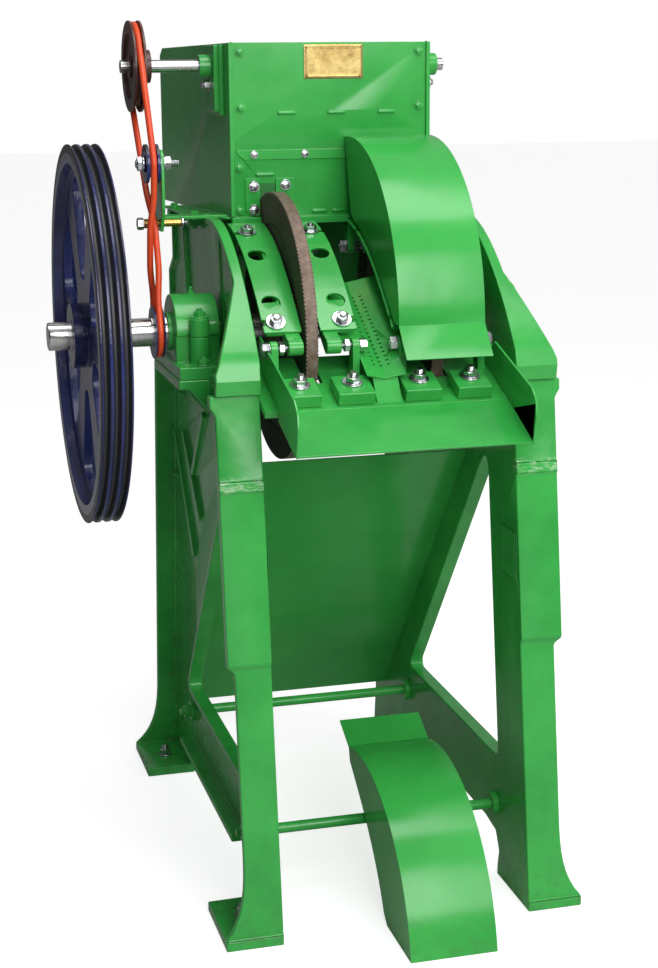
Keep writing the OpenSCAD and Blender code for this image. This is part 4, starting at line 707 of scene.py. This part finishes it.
def makeBaseBolts():
    angle = math.atan(bed["slope"])
    along, up = np.array([math.cos(angle), math.sin(angle)]), np.array([-math.sin(angle), math.cos(angle)])
    seat = np.array(bed["front"]) + bed["stud"] * along + bed["block"] * up
    parts = []
    for s in (-1, 1):
        for i, x in enumerate(bed["bolts"]):
            parts += bolt((-8 + s * x, *seat), (0, *up), 13, 11, 19, 3, 10, 22, 30 * i + 7 * s, 7)
            parts.append(stood(washer(15, 1.6), (-8 + s * x, *(seat + 2.9 * up)), (0, *up)))
    addPiece("baseBolts", parts, "zincPlate", "frame", ("base_bolts",))


jockey = {"x": -374.0, "at": (-78.0, 1416.0), "bracket": -357.0, "bush": (-44.7, 1300.5), "width": 29.0}


def makeBeltFasteners():
    x, wall, half = jockey["x"], jockey["bracket"], jockey["width"] / 2
    at = lambda value, place: (value, *place)
    axis = (1, 0, 0)
    pin, bush = jockey["at"], jockey["bush"]
    parts = [stood(thread(8, 0, 15), at(x - 30, pin), axis), stood(lathe([(0, 0), (8, 0), (8, 52), (0, 52)], 24), at(x - 15, pin), axis),
             stood(thread(8, 0, 30), at(wall + 6, pin), axis), stood(hexHead(14, 9, True), at(x - 27, pin), axis, 14),
             stood(washer(17, 3.2), at(x - 18, pin), axis),
             stood(lathe([(0, 0), (15, 0), (15, 2.2), (0, 2.2)], 32), at(x + half + 0.3, pin), axis),
             stood(washer(16, 3), at(wall + 6, pin), axis), stood(hexHead(14, 11, True), at(wall + 9, pin), axis, 22),
             stood(thread(4, 0, wall - x + 80, 1.0, 0.5), at(x - 24, bush), axis),
             stood(hexHead(12, 11.8), at(x - 13.2, bush), (-1, 0, 0), 9), stood(washer(11, 3.8), at(wall + 44.2, bush), axis)]
    addPiece("jockeyPin", parts, "zincPlate", "frame", ("belt_bolts",))


plate = {"middle": (6.0, 1603.0), "size": (120.0, 66.0), "face": -6.0, "thick": 1.5}


def makePlate():
    # Height of the plate's face over a grid: a raised border line inside each edge, and a slightly dished field
    width, high = plate["size"]
    u, v = np.meshgrid(np.linspace(-1, 1, 121), np.linspace(-1, 1, 67), indexing="ij")
    edge = np.minimum((1 - np.abs(u)) * width / 2, (1 - np.abs(v)) * high / 2)
    border = np.exp(-((edge - 4.5) / 0.8) ** 2) * 0.35 + np.exp(-((edge - 7.5) / 0.5) ** 2) * 0.2
    depth = plate["thick"] - 0.4 + border - 0.3 * np.exp(-(edge / 0.8) ** 2)
    round3 = np.clip(edge, 0, 3)
    x = plate["middle"][0] + u * width / 2
    z = plate["middle"][1] + v * high / 2
    front = np.stack([x, plate["face"] - depth - 0.02 * round3, z], -1)
    back = np.stack([x, np.full_like(x, plate["face"] + 0.2), z], -1)
    rows, cols = u.shape
    parts = [(front.reshape(-1, 3), gridFaces(rows, cols, False)), (back.reshape(-1, 3), gridFaces(rows, cols, False)[:, ::-1])]
    rim = lambda a: np.concatenate([a[:-1, 0], a[-1, :-1], a[:0:-1, -1], a[0, :0:-1]])
    wall = np.stack([rim(front), rim(back)])
    parts.append((wall.reshape(-1, 3), gridFaces(2, wall.shape[1])))
    for s in (-1, 1):
        for t in (-1, 1):
            dome = [(0, 1.6), (1.2, 1.4), (2.2, 0.7), (2.5, 0), (0, 0)]
            parts.append(stood(lathe(dome, 20), (plate["middle"][0] + s * (width / 2 - 6), plate["face"] - 1.1,
                                                 plate["middle"][1] + t * (high / 2 - 6)), (0, -1, 0)))
    addPiece("brassPlate", parts, "plateBrass", "frame", ("nameplate",), 40)


extras = {"feet": (298.0, 424.0, 20.0), "nippleTop": 1167.0}


def makeExtras():
    zinc, painted = [], []
    x, y, top = extras["feet"]
    for s in (-1, 1):
        for t in (-1, 1):
            zinc += bolt((s * x, t * y, top), (0, 0, 1), 13, 11, 17, 3, 12, 0, 15 * s + t, 8)
        # Grease nipple on each bearing cap
        nipple = [(0, 0), (7, 0), (7, 4), (4, 5), (4, 9), (3, 10), (3.6, 12), (2.6, 14.5), (0, 15)]
        painted.append(stood(lathe(nipple, 20), (s * 306.5, -90.6, extras["nippleTop"]), (0, 0, 1)))
        for y2, z2 in ((289, 905), (386, 701)):
            painted += bolt((s * 255, y2, z2), (s, 0, 0), 9, 7, 11, 2, 5)
    addPiece("footBolts", zinc, "zincPlate", "frame")
    addPiece("greaseNipples", painted, "greenCasting", "frame")


print("camera and stage")
makeCamera()
groups = makeGroups()
makeStage()
print("paints")
paints = {name: makeEnamel(name) for name in enamels}
paints.update({name: makeMetal(name) for name in metals})
paints.update({"navyEnamel": makeNavy(), "discIron": makeIron(), "beltRubber": makeBeltRubber(),
               "plateBrass": makePlateBrass()})
paintOfSlot = {"green_enamel": "greenCasting", "bright_steel": "brightSteel", "zinc_plated": "zincPlate",
               "disc_iron": "discIron", "blue_enamel": "navyEnamel", "brown_enamel": "brownEnamel",
               "belt_rubber": "beltRubber", "brass": "agedBrass"}
for name, obj in frame["nodes"].items():
    obj.data.materials.clear()
    obj.data.materials.append(paints[paintOfSlot[slotOf[name]]])
print("eased castings and sheets")
for paint, widths in easing.items():
    for name, width in widths.items():
        easedCopy(name, paint, width)
print("discs and belt")
for name in discs["places"]:
    makeDisc(name)
makeBelt()
print("fasteners and plate")
makeChopFasteners()
makeFrameFasteners()
makeBaseBolts()
makeBeltFasteners()
makePlate()
makeExtras()
bpy.context.scene.view_settings.view_transform = "Standard"
